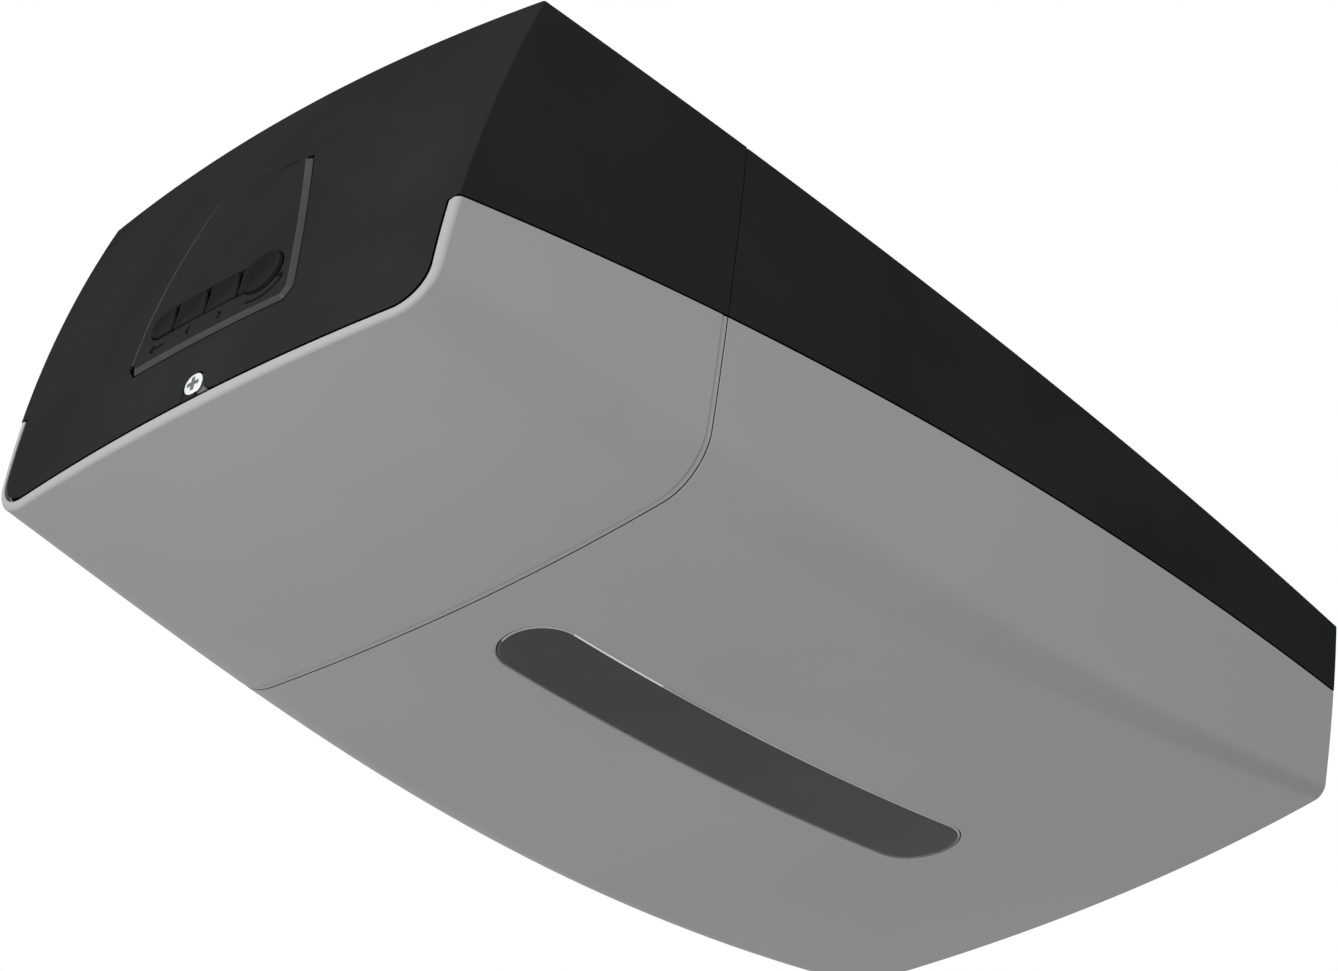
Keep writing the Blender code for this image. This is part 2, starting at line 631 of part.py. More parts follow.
def build_drive():
    centre = (0.0, SHAFT_Y)
    axis = (WORM_X, DRIVE_Z)
    low, high = SHAFT_Y - 0.0310, SHAFT_Y + 0.0310
    case = box("gearbox_housing", (-0.0300, low, -0.0465), (0.0420, high, -0.0019))
    cut(case, cylinder("wheel_room", 0.0262, "Z", -0.060, -0.0220, centre, 24))
    cut(case, box("worm_room", (0.0190, low + 0.0026, -0.060), (0.0395, high - 0.0026, -0.0215)))
    cut(case, cylinder("top_bore", 0.0085, "Z", -0.030, 0.010, centre, 24))
    cut(case, cylinder("worm_bore", 0.0078, "Y", high - 0.010, high + 0.01, axis, 24))
    cover = box("gearbox_cover", (-0.0300, low, -0.0498), (0.0420, high, -0.0468))
    cut(cover, cylinder("bore", 0.0085, "Z", -0.060, -0.040, centre, 24))

    ring = SHAFT_RADIUS + 0.0003
    upper = [(ring, -0.0260), (0.0082, -0.0260), (0.0082, -0.0019), (ring, -0.0019)]
    lathe("output_bush_upper", upper, "Z", centre, 24)
    lower = [(ring, -0.0498), (0.0082, -0.0498), (0.0082, -0.0400), (ring, -0.0400)]
    lathe("output_bush_lower", lower, "Z", centre, 24)
    race = [(ROTOR_RADIUS + 0.0003, high - 0.0045), (0.0075, high - 0.0045), (0.0075, high), (ROTOR_RADIUS + 0.0003, high)]
    lathe("worm_bearing", race, "Y", axis, 24)

    shaft = cylinder("output_shaft", SHAFT_RADIUS, "Z", -0.0496, 0.0140, centre, 24)
    move_origin(shaft, (0.0, SHAFT_Y, 0.0))
    helix = (WORM_LEAD / (2 * math.pi)) / WORM_PITCH_RADIUS / WHEEL_PITCH_RADIUS
    tip, root = WHEEL_PITCH_RADIUS + MODULE, WHEEL_PITCH_RADIUS - 1.25 * MODULE
    wheel = toothed("worm_wheel", WHEEL_TEETH, root, tip, "Z", DRIVE_Z - 0.006, DRIVE_Z + 0.006, centre,
                    ring, 0.27, 0.13, helix, 2)
    move_origin(wheel, (0.0, SHAFT_Y, 0.0))
    sprocket = toothed("drive_sprocket", 12, 0.0135, 0.0178, "Z", 0.0020, 0.0110, centre, ring, 0.30, 0.10)
    move_origin(sprocket, (0.0, SHAFT_Y, 0.0))

    start = high + 0.0003
    can = cylinder("motor_can", 0.0270, "Y", start, 0.0780, axis, 32)
    cut(can, cylinder("inside", 0.0250, "Y", start + 0.0025, 0.0900, axis, 32))
    cut(can, cylinder("hole", 0.0060, "Y", start - 0.01, start + 0.01, axis, 24))
    cap = [(ROTOR_RADIUS + 0.0003, 0.0783), (0.0270, 0.0783), (0.0270, 0.0813), (0.0110, 0.0833)]
    cap += [(0.0110, 0.0863), (ROTOR_RADIUS + 0.0003, 0.0863)]
    lathe("motor_end_cap", cap, "Y", axis, 32)
    for n, start_angle in enumerate((math.radians(30), math.radians(210))):
        sweep = math.radians(120)
        outer = circle(0.0247, 12, axis, start_angle, sweep)
        inner = circle(0.0198, 12, axis, start_angle, sweep)
        prism(f"magnet_{n + 1}", outer + inner[::-1], "Y", 0.0000, 0.0560, 40)
    ring_profile = [(0.0160, 0.0610), (0.0247, 0.0610), (0.0247, 0.0690), (0.0160, 0.0690)]
    brushes = lathe("brush_ring", ring_profile, "Y", axis, 32)
    for side in (-1, 1):
        low_x, high_x = sorted((WORM_X + side * 0.0090, WORM_X + side * 0.0175))
        join(brushes, box("brush", (low_x, 0.0625, DRIVE_Z - 0.003), (high_x, 0.0675, DRIVE_Z + 0.003)))
    sensor = box("encoder_sensor", (WORM_X - 0.0060, 0.0871, DRIVE_Z + 0.0080),
                 (WORM_X + 0.0060, 0.0970, DRIVE_Z + 0.0190))
    cut(sensor, box("slot", (WORM_X - 0.010, 0.0902, DRIVE_Z), (WORM_X + 0.010, 0.0934, DRIVE_Z + 0.0145)))

    bore = ROTOR_RADIUS + 0.0003
    rotor = worm("worm_shaft", SHAFT_Y - 0.0280, 0.0980, SHAFT_Y - 0.0130, SHAFT_Y + 0.0130)
    core = toothed("armature", 10, 0.0125, 0.0188, "Y", 0.0030, 0.0520, axis, bore, 0.16, 0.40)
    ring_bars = toothed("commutator", 12, 0.0078, 0.0086, "Y", 0.0570, 0.0720, axis, bore, 0.44, 0.42)
    disc = toothed("encoder_disc", 16, 0.0110, 0.0135, "Y", 0.0912, 0.0924, axis, bore, 0.26, 0.24)
    for piece in (rotor, core, ring_bars, disc):
        move_origin(piece, (WORM_X, 0.0, DRIVE_Z))


def move_origin(obj, point):
    """Puts the object's origin on its joint axis without moving its shape."""
    obj.data.transform(Matrix.Translation(-Vector(point)))
    obj.location = point


BLACK = ((0.045, 0.047, 0.046, 1), 0.45, 0.0)
GREY = ((0.275, 0.280, 0.280, 1), 0.42, 0.0)
KEYS = ((0.030, 0.030, 0.030, 1), 0.50, 0.0)
STEEL = ((0.560, 0.570, 0.580, 1), 0.35, 1.0)
ZINC = ((0.700, 0.700, 0.710, 1), 0.25, 1.0)
BOARD = ((0.020, 0.140, 0.060, 1), 0.50, 0.0)
CASTING = ((0.450, 0.460, 0.470, 1), 0.50, 1.0)
BRONZE = ((0.550, 0.350, 0.130, 1), 0.35, 1.0)
COPPER = ((0.600, 0.240, 0.100, 1), 0.40, 1.0)
WHITE = ((0.800, 0.790, 0.750, 1), 0.50, 0.0)
BLUE = ((0.040, 0.100, 0.350, 1), 0.45, 0.0)
GREEN = ((0.050, 0.300, 0.100, 1), 0.45, 0.0)
IRON = ((0.120, 0.120, 0.130, 1), 0.55, 1.0)
LENS = ((0.060, 0.062, 0.064, 1), 0.15, 0.0)
NYLON = ((0.750, 0.720, 0.620, 1), 0.50, 0.0)

FINISHES = {
    "front_housing": BLACK, "rear_housing": BLACK, "control_bezel": BLACK, "front_cover": GREY,
    "rear_cover": GREY, "light_lens": LENS, "top_plate": STEEL, "button": KEYS, "cover_screw": ZINC,
    "housing_screw": ZINC, "keypad_board": BOARD, "control_board": BOARD, "light_board": WHITE,
    "tact_switch": IRON, "display_module": IRON, "relay": BLUE, "capacitor": IRON, "fuse_holder": KEYS,
    "terminal": GREEN, "transformer_core": IRON, "transformer_coil": COPPER, "gearbox": CASTING,
    "output_bush": BRONZE, "worm_bearing": ZINC, "motor_can": STEEL, "motor_end_cap": KEYS, "magnet": IRON,
    "brush_ring": KEYS, "encoder": KEYS, "worm_shaft": ZINC, "armature": IRON, "commutator": COPPER,
    "worm_wheel": NYLON, "output_shaft": ZINC, "drive_sprocket": ZINC, "lamp_bracket": STEEL, "led": WHITE,
    "cable_grommet": KEYS, "rail_bracket": STEEL, "board_bracket": STEEL, "transformer_strap": STEEL,
}


def paint(obj):
    prefix = max((p for p in FINISHES if obj.name.startswith(p)), key=len)
    colour, roughness, metallic = FINISHES[prefix]
    material = bpy.data.materials.new(obj.name)
    material.use_nodes = True
    shader = material.node_tree.nodes["Principled BSDF"]
    shader.inputs["Base Color"].default_value = colour
    shader.inputs["Roughness"].default_value = roughness
    shader.inputs["Metallic"].default_value = metallic
    obj.data.materials.clear()
    obj.data.materials.append(material)


for old in list(bpy.data.objects):
    bpy.data.objects.remove(old)

build_chassis()
build_shells()
build_panel()
build_electronics()
build_drive()
for piece in bpy.data.objects:
    paint(piece)
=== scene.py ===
"""The visual model of the garage door opener head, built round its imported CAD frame.

Metres. The origin is on the seat for the rail and +Z is up. v is the distance behind the front plane, so that
y = FRONT_Y + v. The outer faces are formulas of v, x and z, and every shell is drawn from them.
"""
import math

import bmesh
import bpy
from mathutils import Matrix, Vector


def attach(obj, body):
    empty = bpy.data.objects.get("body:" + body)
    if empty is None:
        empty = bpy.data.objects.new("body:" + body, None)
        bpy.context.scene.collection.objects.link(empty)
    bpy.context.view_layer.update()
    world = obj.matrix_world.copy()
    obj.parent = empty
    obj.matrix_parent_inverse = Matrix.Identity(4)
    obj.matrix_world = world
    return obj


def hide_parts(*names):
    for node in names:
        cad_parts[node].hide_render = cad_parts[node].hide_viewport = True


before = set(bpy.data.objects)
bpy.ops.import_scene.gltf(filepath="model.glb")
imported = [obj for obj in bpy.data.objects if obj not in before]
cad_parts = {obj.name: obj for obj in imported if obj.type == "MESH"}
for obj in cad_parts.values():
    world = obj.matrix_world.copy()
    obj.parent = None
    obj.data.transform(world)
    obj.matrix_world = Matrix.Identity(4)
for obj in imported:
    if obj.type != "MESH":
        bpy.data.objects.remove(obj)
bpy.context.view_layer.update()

# ---------------------------------------------------------------- outer form
# HALF_WIDTH, DEPTH, SPLIT_DEPTH and EDGE_RADIUS are polynomials in v, from the constant up, and BEZEL_HALF is one
# in z - BEZEL_MIDDLE. SIDE_BULGE, FRONT_LEAN and REAR_LEAN are the factors of z and of its square.
FRONT_Y = -0.180
HEAD_LENGTH = 0.3705
HALF_WIDTH = (0.09122, 0.0750, -0.1106, -0.1265)
SIDE_BULGE = (-0.0460, -0.2897)
DEPTH = (0.13038, 0.0047, -0.4547, -0.0170)
CROWN = 0.0018
SPLIT_DEPTH = (0.0842, -0.2337, 0.2508, -0.1119)
EDGE_RADIUS = (0.0170, 0.0795, -0.9643, 2.8180, -2.8100)
FRONT_BOW_TOP = 0.0076
FRONT_BOW_BOTTOM = 0.0065
FRONT_LEAN = (0.3285, 1.1675)
REAR_BOW = 0.0078
REAR_LEAN = (0.0056, -0.5444)
REAR_HALF_WIDTH = 0.0971
WALL = 0.0025
INNER_RADIUS = 0.0004
GAP = 0.0004
SPLIT_GAP = 0.0007
SEAM_V = 0.0840
SEAM_GAP = 0.0006
SEAM_BOW = 0.0029
SEAM_LIP = 0.0020

PANEL_HALF = 0.0875
PANEL_BOTTOM = -0.1268
PANEL_CORNER = 0.0125
PANEL_CROWN = 0.0010
NOTCH_V = -0.0195
NOTCH_DROP = 0.0010
RIM_FILLET = 0.0016
RIM_GAP = 0.0009
REAR_FILLET = 0.0009
BLACK_FILLET = 0.0006

BEZEL_TOP = -0.0372
BEZEL_BOTTOM = -0.1045
BEZEL_PROUD = 0.0010
BEZEL_MIDDLE = -0.0684
BEZEL_HALF = (0.0289, -0.2217, -2.108)
BEZEL_ARCH = 0.0018
BEZEL_ARCH_HALF = 0.0199
KEY_Z = -0.0890
KEY_HALF_HEIGHT = 0.0055
KEY_GAP = 0.0004
KEY_PROUD = 0.0011
KEY_LEFT = -0.0213
ENTER_X = 0.0195
ENTER_RADIUS = 0.0078
ENTER_PROUD = 0.0015
LABEL_Z = -0.0983
SCREW_Z = -0.1224
SCREW_X = -0.0003
SCREW_SLOT_LOW = -0.1276
PAD_BACK = 0.0080
LENS_V = (0.1056, 0.3005)
LENS_HALF_WIDTH = 0.0142
LENS_RECESS = 0.0002
LENS_FACE = LENS_RECESS - 0.00015
LENS_GAP = 0.0003
LENS_SQUASH = 0.90
LENS_CENTRE = (0.0, FRONT_Y + sum(LENS_V) / 2)

# Starting values of v for a point at the front, on the run behind the seam and on the rear face.
NEAR_FRONT, NEAR_MIDDLE, NEAR_REAR = 0.0, 0.2, 0.37
# How far a cutter through the front reaches along y.
CUT = (-0.26, -0.15)


def polynomial(coefficients, value):
    return sum(c * value**n for n, c in enumerate(coefficients))


def side_x(v, z):
    return polynomial(HALF_WIDTH, v) + SIDE_BULGE[0] * z + SIDE_BULGE[1] * z * z


def split_z(v):
    return -polynomial(SPLIT_DEPTH, v)


def front_v(x, z):
    bow = FRONT_BOW_TOP + (FRONT_BOW_BOTTOM - FRONT_BOW_TOP) * -z / DEPTH[0]
    return -bow * (1 - (x / HALF_WIDTH[0]) ** 2) + FRONT_LEAN[0] * z + FRONT_LEAN[1] * z * z


def rear_v(x, z):
    bow = REAR_BOW * (1 - (x / REAR_HALF_WIDTH) ** 2)
    return HEAD_LENGTH + bow + REAR_LEAN[0] * z + REAR_LEAN[1] * z * z


def seam_v(x):
    return SEAM_V + SEAM_BOW * (1 - (x / HALF_WIDTH[0]) ** 2)


def corner(v, inset):
    """Centre z and x, and radius, of the round between the side and the bottom."""
    bottom = -(polynomial(DEPTH, v) - inset)
    radius = max(polynomial(EDGE_RADIUS, v) - inset, 0.002)
    z = bottom + radius
    return z, side_x(v, z) - inset - radius, radius, bottom


def bottom_z(x, v):
    _, flat, _, bottom = corner(v, 0.0)
    return bottom - CROWN * (1 - min(1.0, abs(x) / flat) ** 2)


def settle(x_of, z_of, v_of, v):
    """The point where a section line, given as x and z, meets a front, rear or seam surface, given as v.

    Each depends on the others, so they are worked out in turn until they agree.
    """
    for _ in range(12):
        z = z_of(v)
        x = x_of(v, z)
        v = v_of(x, z)
    return Vector((x, v + FRONT_Y, z))


# ---------------------------------------------------------------- mesh helpers
class Surface:
    """Vertices found by key, and faces that name them."""

    def __init__(self):
        self.bm = bmesh.new()
        self.verts = {}

    def add(self, key, point):
        if key not in self.verts:
            self.verts[key] = self.bm.verts.new(point)

    def face(self, *keys):
        unique = []
        for key in keys:
            vert = self.verts[key]
            if vert not in unique:
                unique.append(vert)
        if len(unique) > 2:
            self.bm.faces.new(unique)

    def strip(self, first, second):
        for n in range(len(first) - 1):
            self.face(first[n], first[n + 1], second[n + 1], second[n])

    def finish(self, name):
        bmesh.ops.remove_doubles(self.bm, verts=self.bm.verts, dist=2e-6)
        bmesh.ops.dissolve_degenerate(self.bm, edges=self.bm.edges, dist=1e-6)
        bmesh.ops.recalc_face_normals(self.bm, faces=self.bm.faces)
        mesh = bpy.data.meshes.new(name)
        self.bm.to_mesh(mesh)
        self.bm.free()
        obj = bpy.data.objects.new(name, mesh)
        bpy.context.scene.collection.objects.link(obj)
        return obj


def apply_modifiers(obj):
    graph = bpy.context.evaluated_depsgraph_get()
    mesh = bpy.data.meshes.new_from_object(obj.evaluated_get(graph))
    obj.modifiers.clear()
    obj.data = mesh


def boolean(obj, tool, operation="DIFFERENCE"):
    modifier = obj.modifiers.new("cut", "BOOLEAN")
    modifier.operation = operation
    modifier.solver = "EXACT"
    modifier.object = tool
    apply_modifiers(obj)
    bpy.data.objects.remove(tool)
    return obj


def soften(obj, width, segments=2, angle=35):
    """Rounds the edges and lets the large faces set the shading."""
    bevel = obj.modifiers.new("edge", "BEVEL")
    bevel.width = width
    bevel.segments = segments
    bevel.limit_method = "ANGLE"
    bevel.angle_limit = math.radians(angle)
    bevel.miter_outer = "MITER_ARC"
    bevel.use_clamp_overlap = True
    obj.data.shade_smooth()
    weighted = obj.modifiers.new("normals", "WEIGHTED_NORMAL")
    weighted.keep_sharp = True
    weighted.weight = 60
    return obj


def circle(radius, segments, centre=(0.0, 0.0), start=0.0, sweep=2 * math.pi):
    full = abs(sweep) >= 2 * math.pi
    steps = segments if full else segments + 1
    angles = [start + sweep * n / segments for n in range(steps)]
    return [(centre[0] + radius * math.cos(a), centre[1] + radius * math.sin(a)) for a in angles]


def prism(name, outline, axis, low, high):
    """Extrudes an outline along Y or Z. low and high are numbers or functions of the outline's coordinates."""

    def place(point, height):
        a, b = point
        h = height(a, b) if callable(height) else height
        return (a, h, b) if axis == "Y" else (a, b, h)

    surface = Surface()
    count = len(outline)
    for n, point in enumerate(outline):
        surface.add((0, n), place(point, low))
        surface.add((1, n), place(point, high))
    surface.face(*[(0, n) for n in range(count)])
    surface.face(*[(1, n) for n in range(count)])
    surface.strip([(0, n % count) for n in range(count + 1)], [(1, n % count) for n in range(count + 1)])
    return surface.finish(name)


def lathe(name, profile, centre, segments=64):
    """Turns a closed profile of (radius, y) round an axis along Y through centre, given as (x, z)."""
    surface = Surface()
    count = len(profile)
    for n, (radius, y) in enumerate(profile):
        for s, (x, z) in enumerate(circle(max(radius, 1e-7), segments, centre)):
            surface.add((n, s), (x, y, z))
    for n in range(count):
        m = (n + 1) % count
        if profile[n][0] == 0 and profile[m][0] == 0:
            continue
        surface.strip([(n, s % segments) for s in range(segments + 1)],
                      [(m, s % segments) for s in range(segments + 1)])
    return surface.finish(name)


def offset_outline(outline, distance):
    """Moves a convex outline's points inwards along their corner normals."""
    area = sum(a[0] * b[1] - b[0] * a[1] for a, b in zip(outline, outline[1:] + outline[:1]))
    turn = 1 if area > 0 else -1
    moved = []
    for n, point in enumerate(outline):
        here = Vector(point)
        before = (here - Vector(outline[n - 1])).normalized()
        after = (Vector(outline[(n + 1) % len(outline)]) - here).normalized()
        normal = Vector((-before.y - after.y, before.x + after.x)).normalized() * turn
        scale = distance / max(0.4, normal.dot(Vector((-before.y, before.x)) * turn))
        moved.append((here.x + normal.x * scale, here.y + normal.y * scale))
    return moved


def rounded(outline, radius, steps=5):
    """Replaces each corner of an outline by an arc."""
    result = []
    count = len(outline)
    for n, point in enumerate(outline):
        here = Vector(point)
        before = Vector(outline[n - 1]) - here
        after = Vector(outline[(n + 1) % count]) - here
        angle = before.angle(after)
        if angle > math.radians(172):
            result.append(point)
            continue
        reach = min(radius / math.tan(angle / 2), before.length * 0.45, after.length * 0.45)
        start = here + before.normalized() * reach
        end = here + after.normalized() * reach
        for s in range(steps + 1):
            t = s / steps
            p = start * (1 - t) ** 2 + here * 2 * t * (1 - t) + end * t * t
            result.append((p.x, p.y))
    return result


def parts_of(outline, spacing):
    ends = outline[1:] + outline[:1]
    return [max(1, round((Vector(b) - Vector(a)).length / spacing)) for a, b in zip(outline, ends)]


def divided(outline, parts):
    """Splits each edge of an outline into the given number of steps."""
    result = []
    for n, point in enumerate(outline):
        a, b = Vector(point), Vector(outline[(n + 1) % len(outline)])
        result += [tuple(a.lerp(b, s / parts[n])) for s in range(parts[n])]
    return result


def ring_family(base, radius, spacing):
    """Rings at any inset of one outline, with rounded corners and matching points."""
    parts = parts_of(rounded(base, radius), spacing)

    def ring_at(inset):
        sharp = offset_outline(base, inset) if inset else base
        return divided(rounded(sharp, max(radius - inset, 0.0003)), parts)

    return ring_at


def plate(name, ring_at, edge, fill, place, centre, back):
    """A plate with a shaped edge, whose rings all have matching points.

    edge is (inset, depth) from its back to its face, fill is (scale, depth) inwards over the face, and back is
    the scales of the rings on its back. place maps (a, b, depth) to a point.
    """
    surface = Surface()
    rows = []

    def ring(points, scale, depth):
        key = len(rows)
        for n, (a, b) in enumerate(points):
            a, b = centre[0] + (a - centre[0]) * scale, centre[1] + (b - centre[1]) * scale
            surface.add((key, n), place(a, b, depth))
        rows.append([(key, n % len(points)) for n in range(len(points) + 1)])

    for scale in back:
        ring(ring_at(edge[0][0]), scale, edge[0][1])
    for inset, depth in edge:
        ring(ring_at(inset), 1.0, depth)
    for scale, depth in fill:
        ring(ring_at(edge[-1][0]), scale, depth)
    for first, second in zip(rows, rows[1:]):
        surface.strip(first, second)
    surface.face(*rows[0][:-1])
    surface.face(*rows[-1][:-1])
    return surface.finish(name)


# ---------------------------------------------------------------- shells
SIDE_ROWS = 14
ARC_ROWS = 14
COLUMNS = 40
CHAIN = 2 * (SIDE_ROWS + ARC_ROWS) + COLUMNS


def grey_top(v):
    return split_z(v) - SPLIT_GAP


def chain_point(c, inset):
    """x_of and z_of for step c of the section: down the right side, round, across the bottom and up again."""
    mirror = -1 if c > CHAIN / 2 else 1
    row = min(c, CHAIN - c)
    corner_row = SIDE_ROWS + ARC_ROWS

    def z_of(v):
        centre_z, _, radius, bottom = corner(v, inset)
        if row <= SIDE_ROWS:
            top = grey_top(v)
            return top + (centre_z - top) * row / SIDE_ROWS
        if row <= corner_row:
            return centre_z - radius * math.sin((row - SIDE_ROWS) / ARC_ROWS * math.pi / 2)
        share = 1 - 2 * (row - corner_row) / COLUMNS
        return bottom - CROWN * (1 - share * share)

    def x_of(v, z):
        _, flat, radius, _ = corner(v, inset)
        if row <= SIDE_ROWS:
            return mirror * (side_x(v, z) - inset)
        if row <= corner_row:
            return mirror * (flat + radius * math.cos((row - SIDE_ROWS) / ARC_ROWS * math.pi / 2))
        return mirror * flat * (1 - 2 * (row - corner_row) / COLUMNS)

    return x_of, z_of


def fillet(radius, steps):
    """(depth from the end face, inset from the side) along a quarter round."""
    angles = [math.pi / 2 * n / steps for n in range(steps + 1)]
    return [(radius * (1 - math.cos(a)), radius * (1 - math.sin(a))) for a in angles]


def panel_point(c, grow):
    """The panel's outline on the grey rim, at the same step as the section."""
    mirror = -1 if c > CHAIN / 2 else 1
    row = min(c, CHAIN - c)
    half, low = PANEL_HALF + grow, PANEL_BOTTOM - grow
    radius = PANEL_CORNER
    centre_x, centre_z = half - radius, low + radius
    if row <= SIDE_ROWS:
        top = grey_top(NOTCH_V) - NOTCH_DROP
        return mirror * half, top + (centre_z - top) * row / SIDE_ROWS
    if row <= SIDE_ROWS + ARC_ROWS:
        angle = (row - SIDE_ROWS) / ARC_ROWS * math.pi / 2
        return mirror * (centre_x + radius * math.cos(angle)), centre_z - radius * math.sin(angle)
    share = 1 - 2 * (row - SIDE_ROWS - ARC_ROWS) / COLUMNS
    return mirror * centre_x * share, low - PANEL_CROWN * (1 - share * share)


def shell_from_pairs(name, pairs, cap=None):
    """A thin shell: each station is an outer and an inner row of points along the section."""
    surface = Surface()
    count = len(pairs[0][0])
    for k, (outer, inner) in enumerate(pairs):
        for c in range(count):
            surface.add(("o", k, c), outer[c])
            surface.add(("i", k, c), inner[c])
    for k in range(len(pairs) - 1):
        for layer in "oi":
            surface.strip([(layer, k, c) for c in range(count)], [(layer, k + 1, c) for c in range(count)])
        for c in (0, count - 1):
            surface.face(("o", k, c), ("o", k + 1, c), ("i", k + 1, c), ("i", k, c))
    ends = [0] if cap else [0, len(pairs) - 1]
    for k in ends:
        surface.strip([("o", k, c) for c in range(count)], [("i", k, c) for c in range(count)])
    if cap:
        cap(surface, len(pairs) - 1)
    return surface.finish(name)


def grey_row(inset, v_of, near):
    """The points along one section of a grey cover."""
    return [settle(*chain_point(c, inset), v_of, near) for c in range(CHAIN + 1)]


def grey_front_cover():
    """The trough between the control panel and the seam, with a rim round the panel and a lip at the seam."""
    pairs = []

    def rim(share, depth, inset):
        points = []
        for c, end in enumerate(grey_row(inset, lambda x, z: front_v(x, z) + depth, NEAR_FRONT)):
            px, pz = panel_point(c, RIM_GAP)
            x, z = px + (end.x - px) * share, pz + (end.z - pz) * share
            points.append(Vector((x, front_v(x, z) + depth + FRONT_Y, z)))
        return points

    def between(share, start):
        def v_of(x, z):
            low = front_v(x, z) + start
            high = seam_v(x) - SEAM_GAP / 2 - SEAM_LIP
            return low + (high - low) * share

        return v_of

    for share in (0.0, 0.5):
        pairs.append((rim(share, 0.0, RIM_FILLET), rim(share, WALL, WALL + INNER_RADIUS)))
    for (depth, inset), (depth_in, inset_in) in zip(fillet(RIM_FILLET, 6), fillet(INNER_RADIUS, 6)):
        outer = grey_row(inset, lambda x, z: front_v(x, z) + depth, NEAR_FRONT)
        inner = grey_row(WALL + inset_in, lambda x, z: front_v(x, z) + WALL + depth_in, NEAR_FRONT)
        pairs.append((outer, inner))
    steps = 14
    for n in range(1, steps + 1):
        outer = grey_row(0.0, between(n / steps, RIM_FILLET), NEAR_FRONT)
        inner = grey_row(WALL, between(n / steps, WALL + INNER_RADIUS), NEAR_FRONT)
        pairs.append((outer, inner))
    for share, inset in ((0.03, 0.00034), (0.5, 0.00024), (1.0, 0.00012)):
        def lip_v(x, z):
            return seam_v(x) - SEAM_GAP / 2 - SEAM_LIP * (1 - share)

        pairs.append((grey_row(inset, lip_v, NEAR_FRONT), grey_row(WALL, lip_v, NEAR_FRONT)))
    return shell_from_pairs("cover_front", pairs)


def rear_line(surface, layer, i, depth, x_of, z_of):
    """Adds one row of points across the rear face, between its two side walls, and returns their keys."""
    keys = []
    for j in range(1, COLUMNS):
        share = 1 - 2 * j / COLUMNS
        point = settle(lambda v, z: x_of(v, z) * share, z_of, lambda x, z: rear_v(x, z) - depth, NEAR_REAR)
        surface.add((layer, "cap", i, j), point)
        keys.append((layer, "cap", i, j))
    return keys


def grey_rear_cover():
    """The trough behind the seam, closed by the lower half of the rear face."""
    pairs = []

    def run(share, end):
        def v_of(x, z):
            low, high = seam_v(x) + SEAM_GAP / 2, rear_v(x, z) - end
            return low + (high - low) * share

        return v_of

    steps = 30
    for n in range(steps + 1):
        outer = grey_row(0.0, run(n / steps, REAR_FILLET), NEAR_MIDDLE)
        inner = grey_row(WALL, run(n / steps, WALL + INNER_RADIUS), NEAR_MIDDLE)
        pairs.append((outer, inner))
    curves = list(zip(fillet(REAR_FILLET, 6), fillet(INNER_RADIUS, 6)))[::-1][1:]
    for (depth, inset), (depth_in, inset_in) in curves:
        outer = grey_row(inset, lambda x, z: rear_v(x, z) - depth, NEAR_MIDDLE)
        inner = grey_row(WALL + inset_in, lambda x, z: rear_v(x, z) - WALL - depth_in, NEAR_MIDDLE)
        pairs.append((outer, inner))

    def cap(surface, k):
        rows = SIDE_ROWS + ARC_ROWS
        tops = []
        for layer, inset, depth in (("o", REAR_FILLET, 0.0), ("i", WALL + INNER_RADIUS, WALL)):
            grid = []
            for i in range(rows):
                across = rear_line(surface, layer, i, depth, *chain_point(i, inset))
                grid.append([(layer, k, i)] + across + [(layer, k, CHAIN - i)])
            grid.append([(layer, k, c) for c in range(rows, CHAIN - rows + 1)])
            for first, second in zip(grid, grid[1:]):
                surface.strip(first, second)
            tops.append(grid[0])
        surface.strip(*tops)

    return shell_from_pairs("cover_rear", pairs, cap)


BLACK_ROWS = 20


def black_wall_point(i, inset, mirror):
    def z_of(v):
        return split_z(v) * i / BLACK_ROWS

    def x_of(v, z):
        return mirror * (side_x(v, z) - inset)

    return x_of, z_of


def black_walls(surface, end_v, sign, steps, near):
    """The two side walls of a black housing, from the seam to the round at its end face.

    sign is 1 where the body lies behind the end face and -1 where it lies in front of it. Each station is its
    share of the run, then (depth, inset) outside and inside. Returns the number of the last station.
    """
    curves = list(zip(fillet(BLACK_FILLET, 4), fillet(INNER_RADIUS, 4)))[::-1]
    stations = [(n / steps, *curves[0]) for n in range(steps + 1)]
    stations += [(1.0, *curve) for curve in curves[1:]]
    rows = range(BLACK_ROWS + 1)
    for k, (share, outside, inside) in enumerate(stations):
        for i in rows:
            for mirror in (1, -1):
                for layer, thick, (depth, inset) in (("o", 0.0, outside), ("i", WALL, inside)):
                    def v_of(x, z):
                        low, high = seam_v(x) - sign * GAP / 2, end_v(x, z) + sign * (thick + depth)
                        return low + (high - low) * share

                    point = settle(*black_wall_point(i, thick + inset, mirror), v_of, near)
                    surface.add((layer, k, i, mirror), point)
    last = len(stations) - 1
    for layer in "oi":
        for mirror in (1, -1):
            for k in range(last):
                surface.strip([(layer, k, i, mirror) for i in rows], [(layer, k + 1, i, mirror) for i in rows])
    for mirror in (1, -1):
        for k in range(last):
            for i in (0, BLACK_ROWS):
                outer = ("o", k, i, mirror), ("o", k + 1, i, mirror)
                surface.face(*outer, ("i", k + 1, i, mirror), ("i", k, i, mirror))
        surface.strip([("o", 0, i, mirror) for i in rows], [("i", 0, i, mirror) for i in rows])
    return last


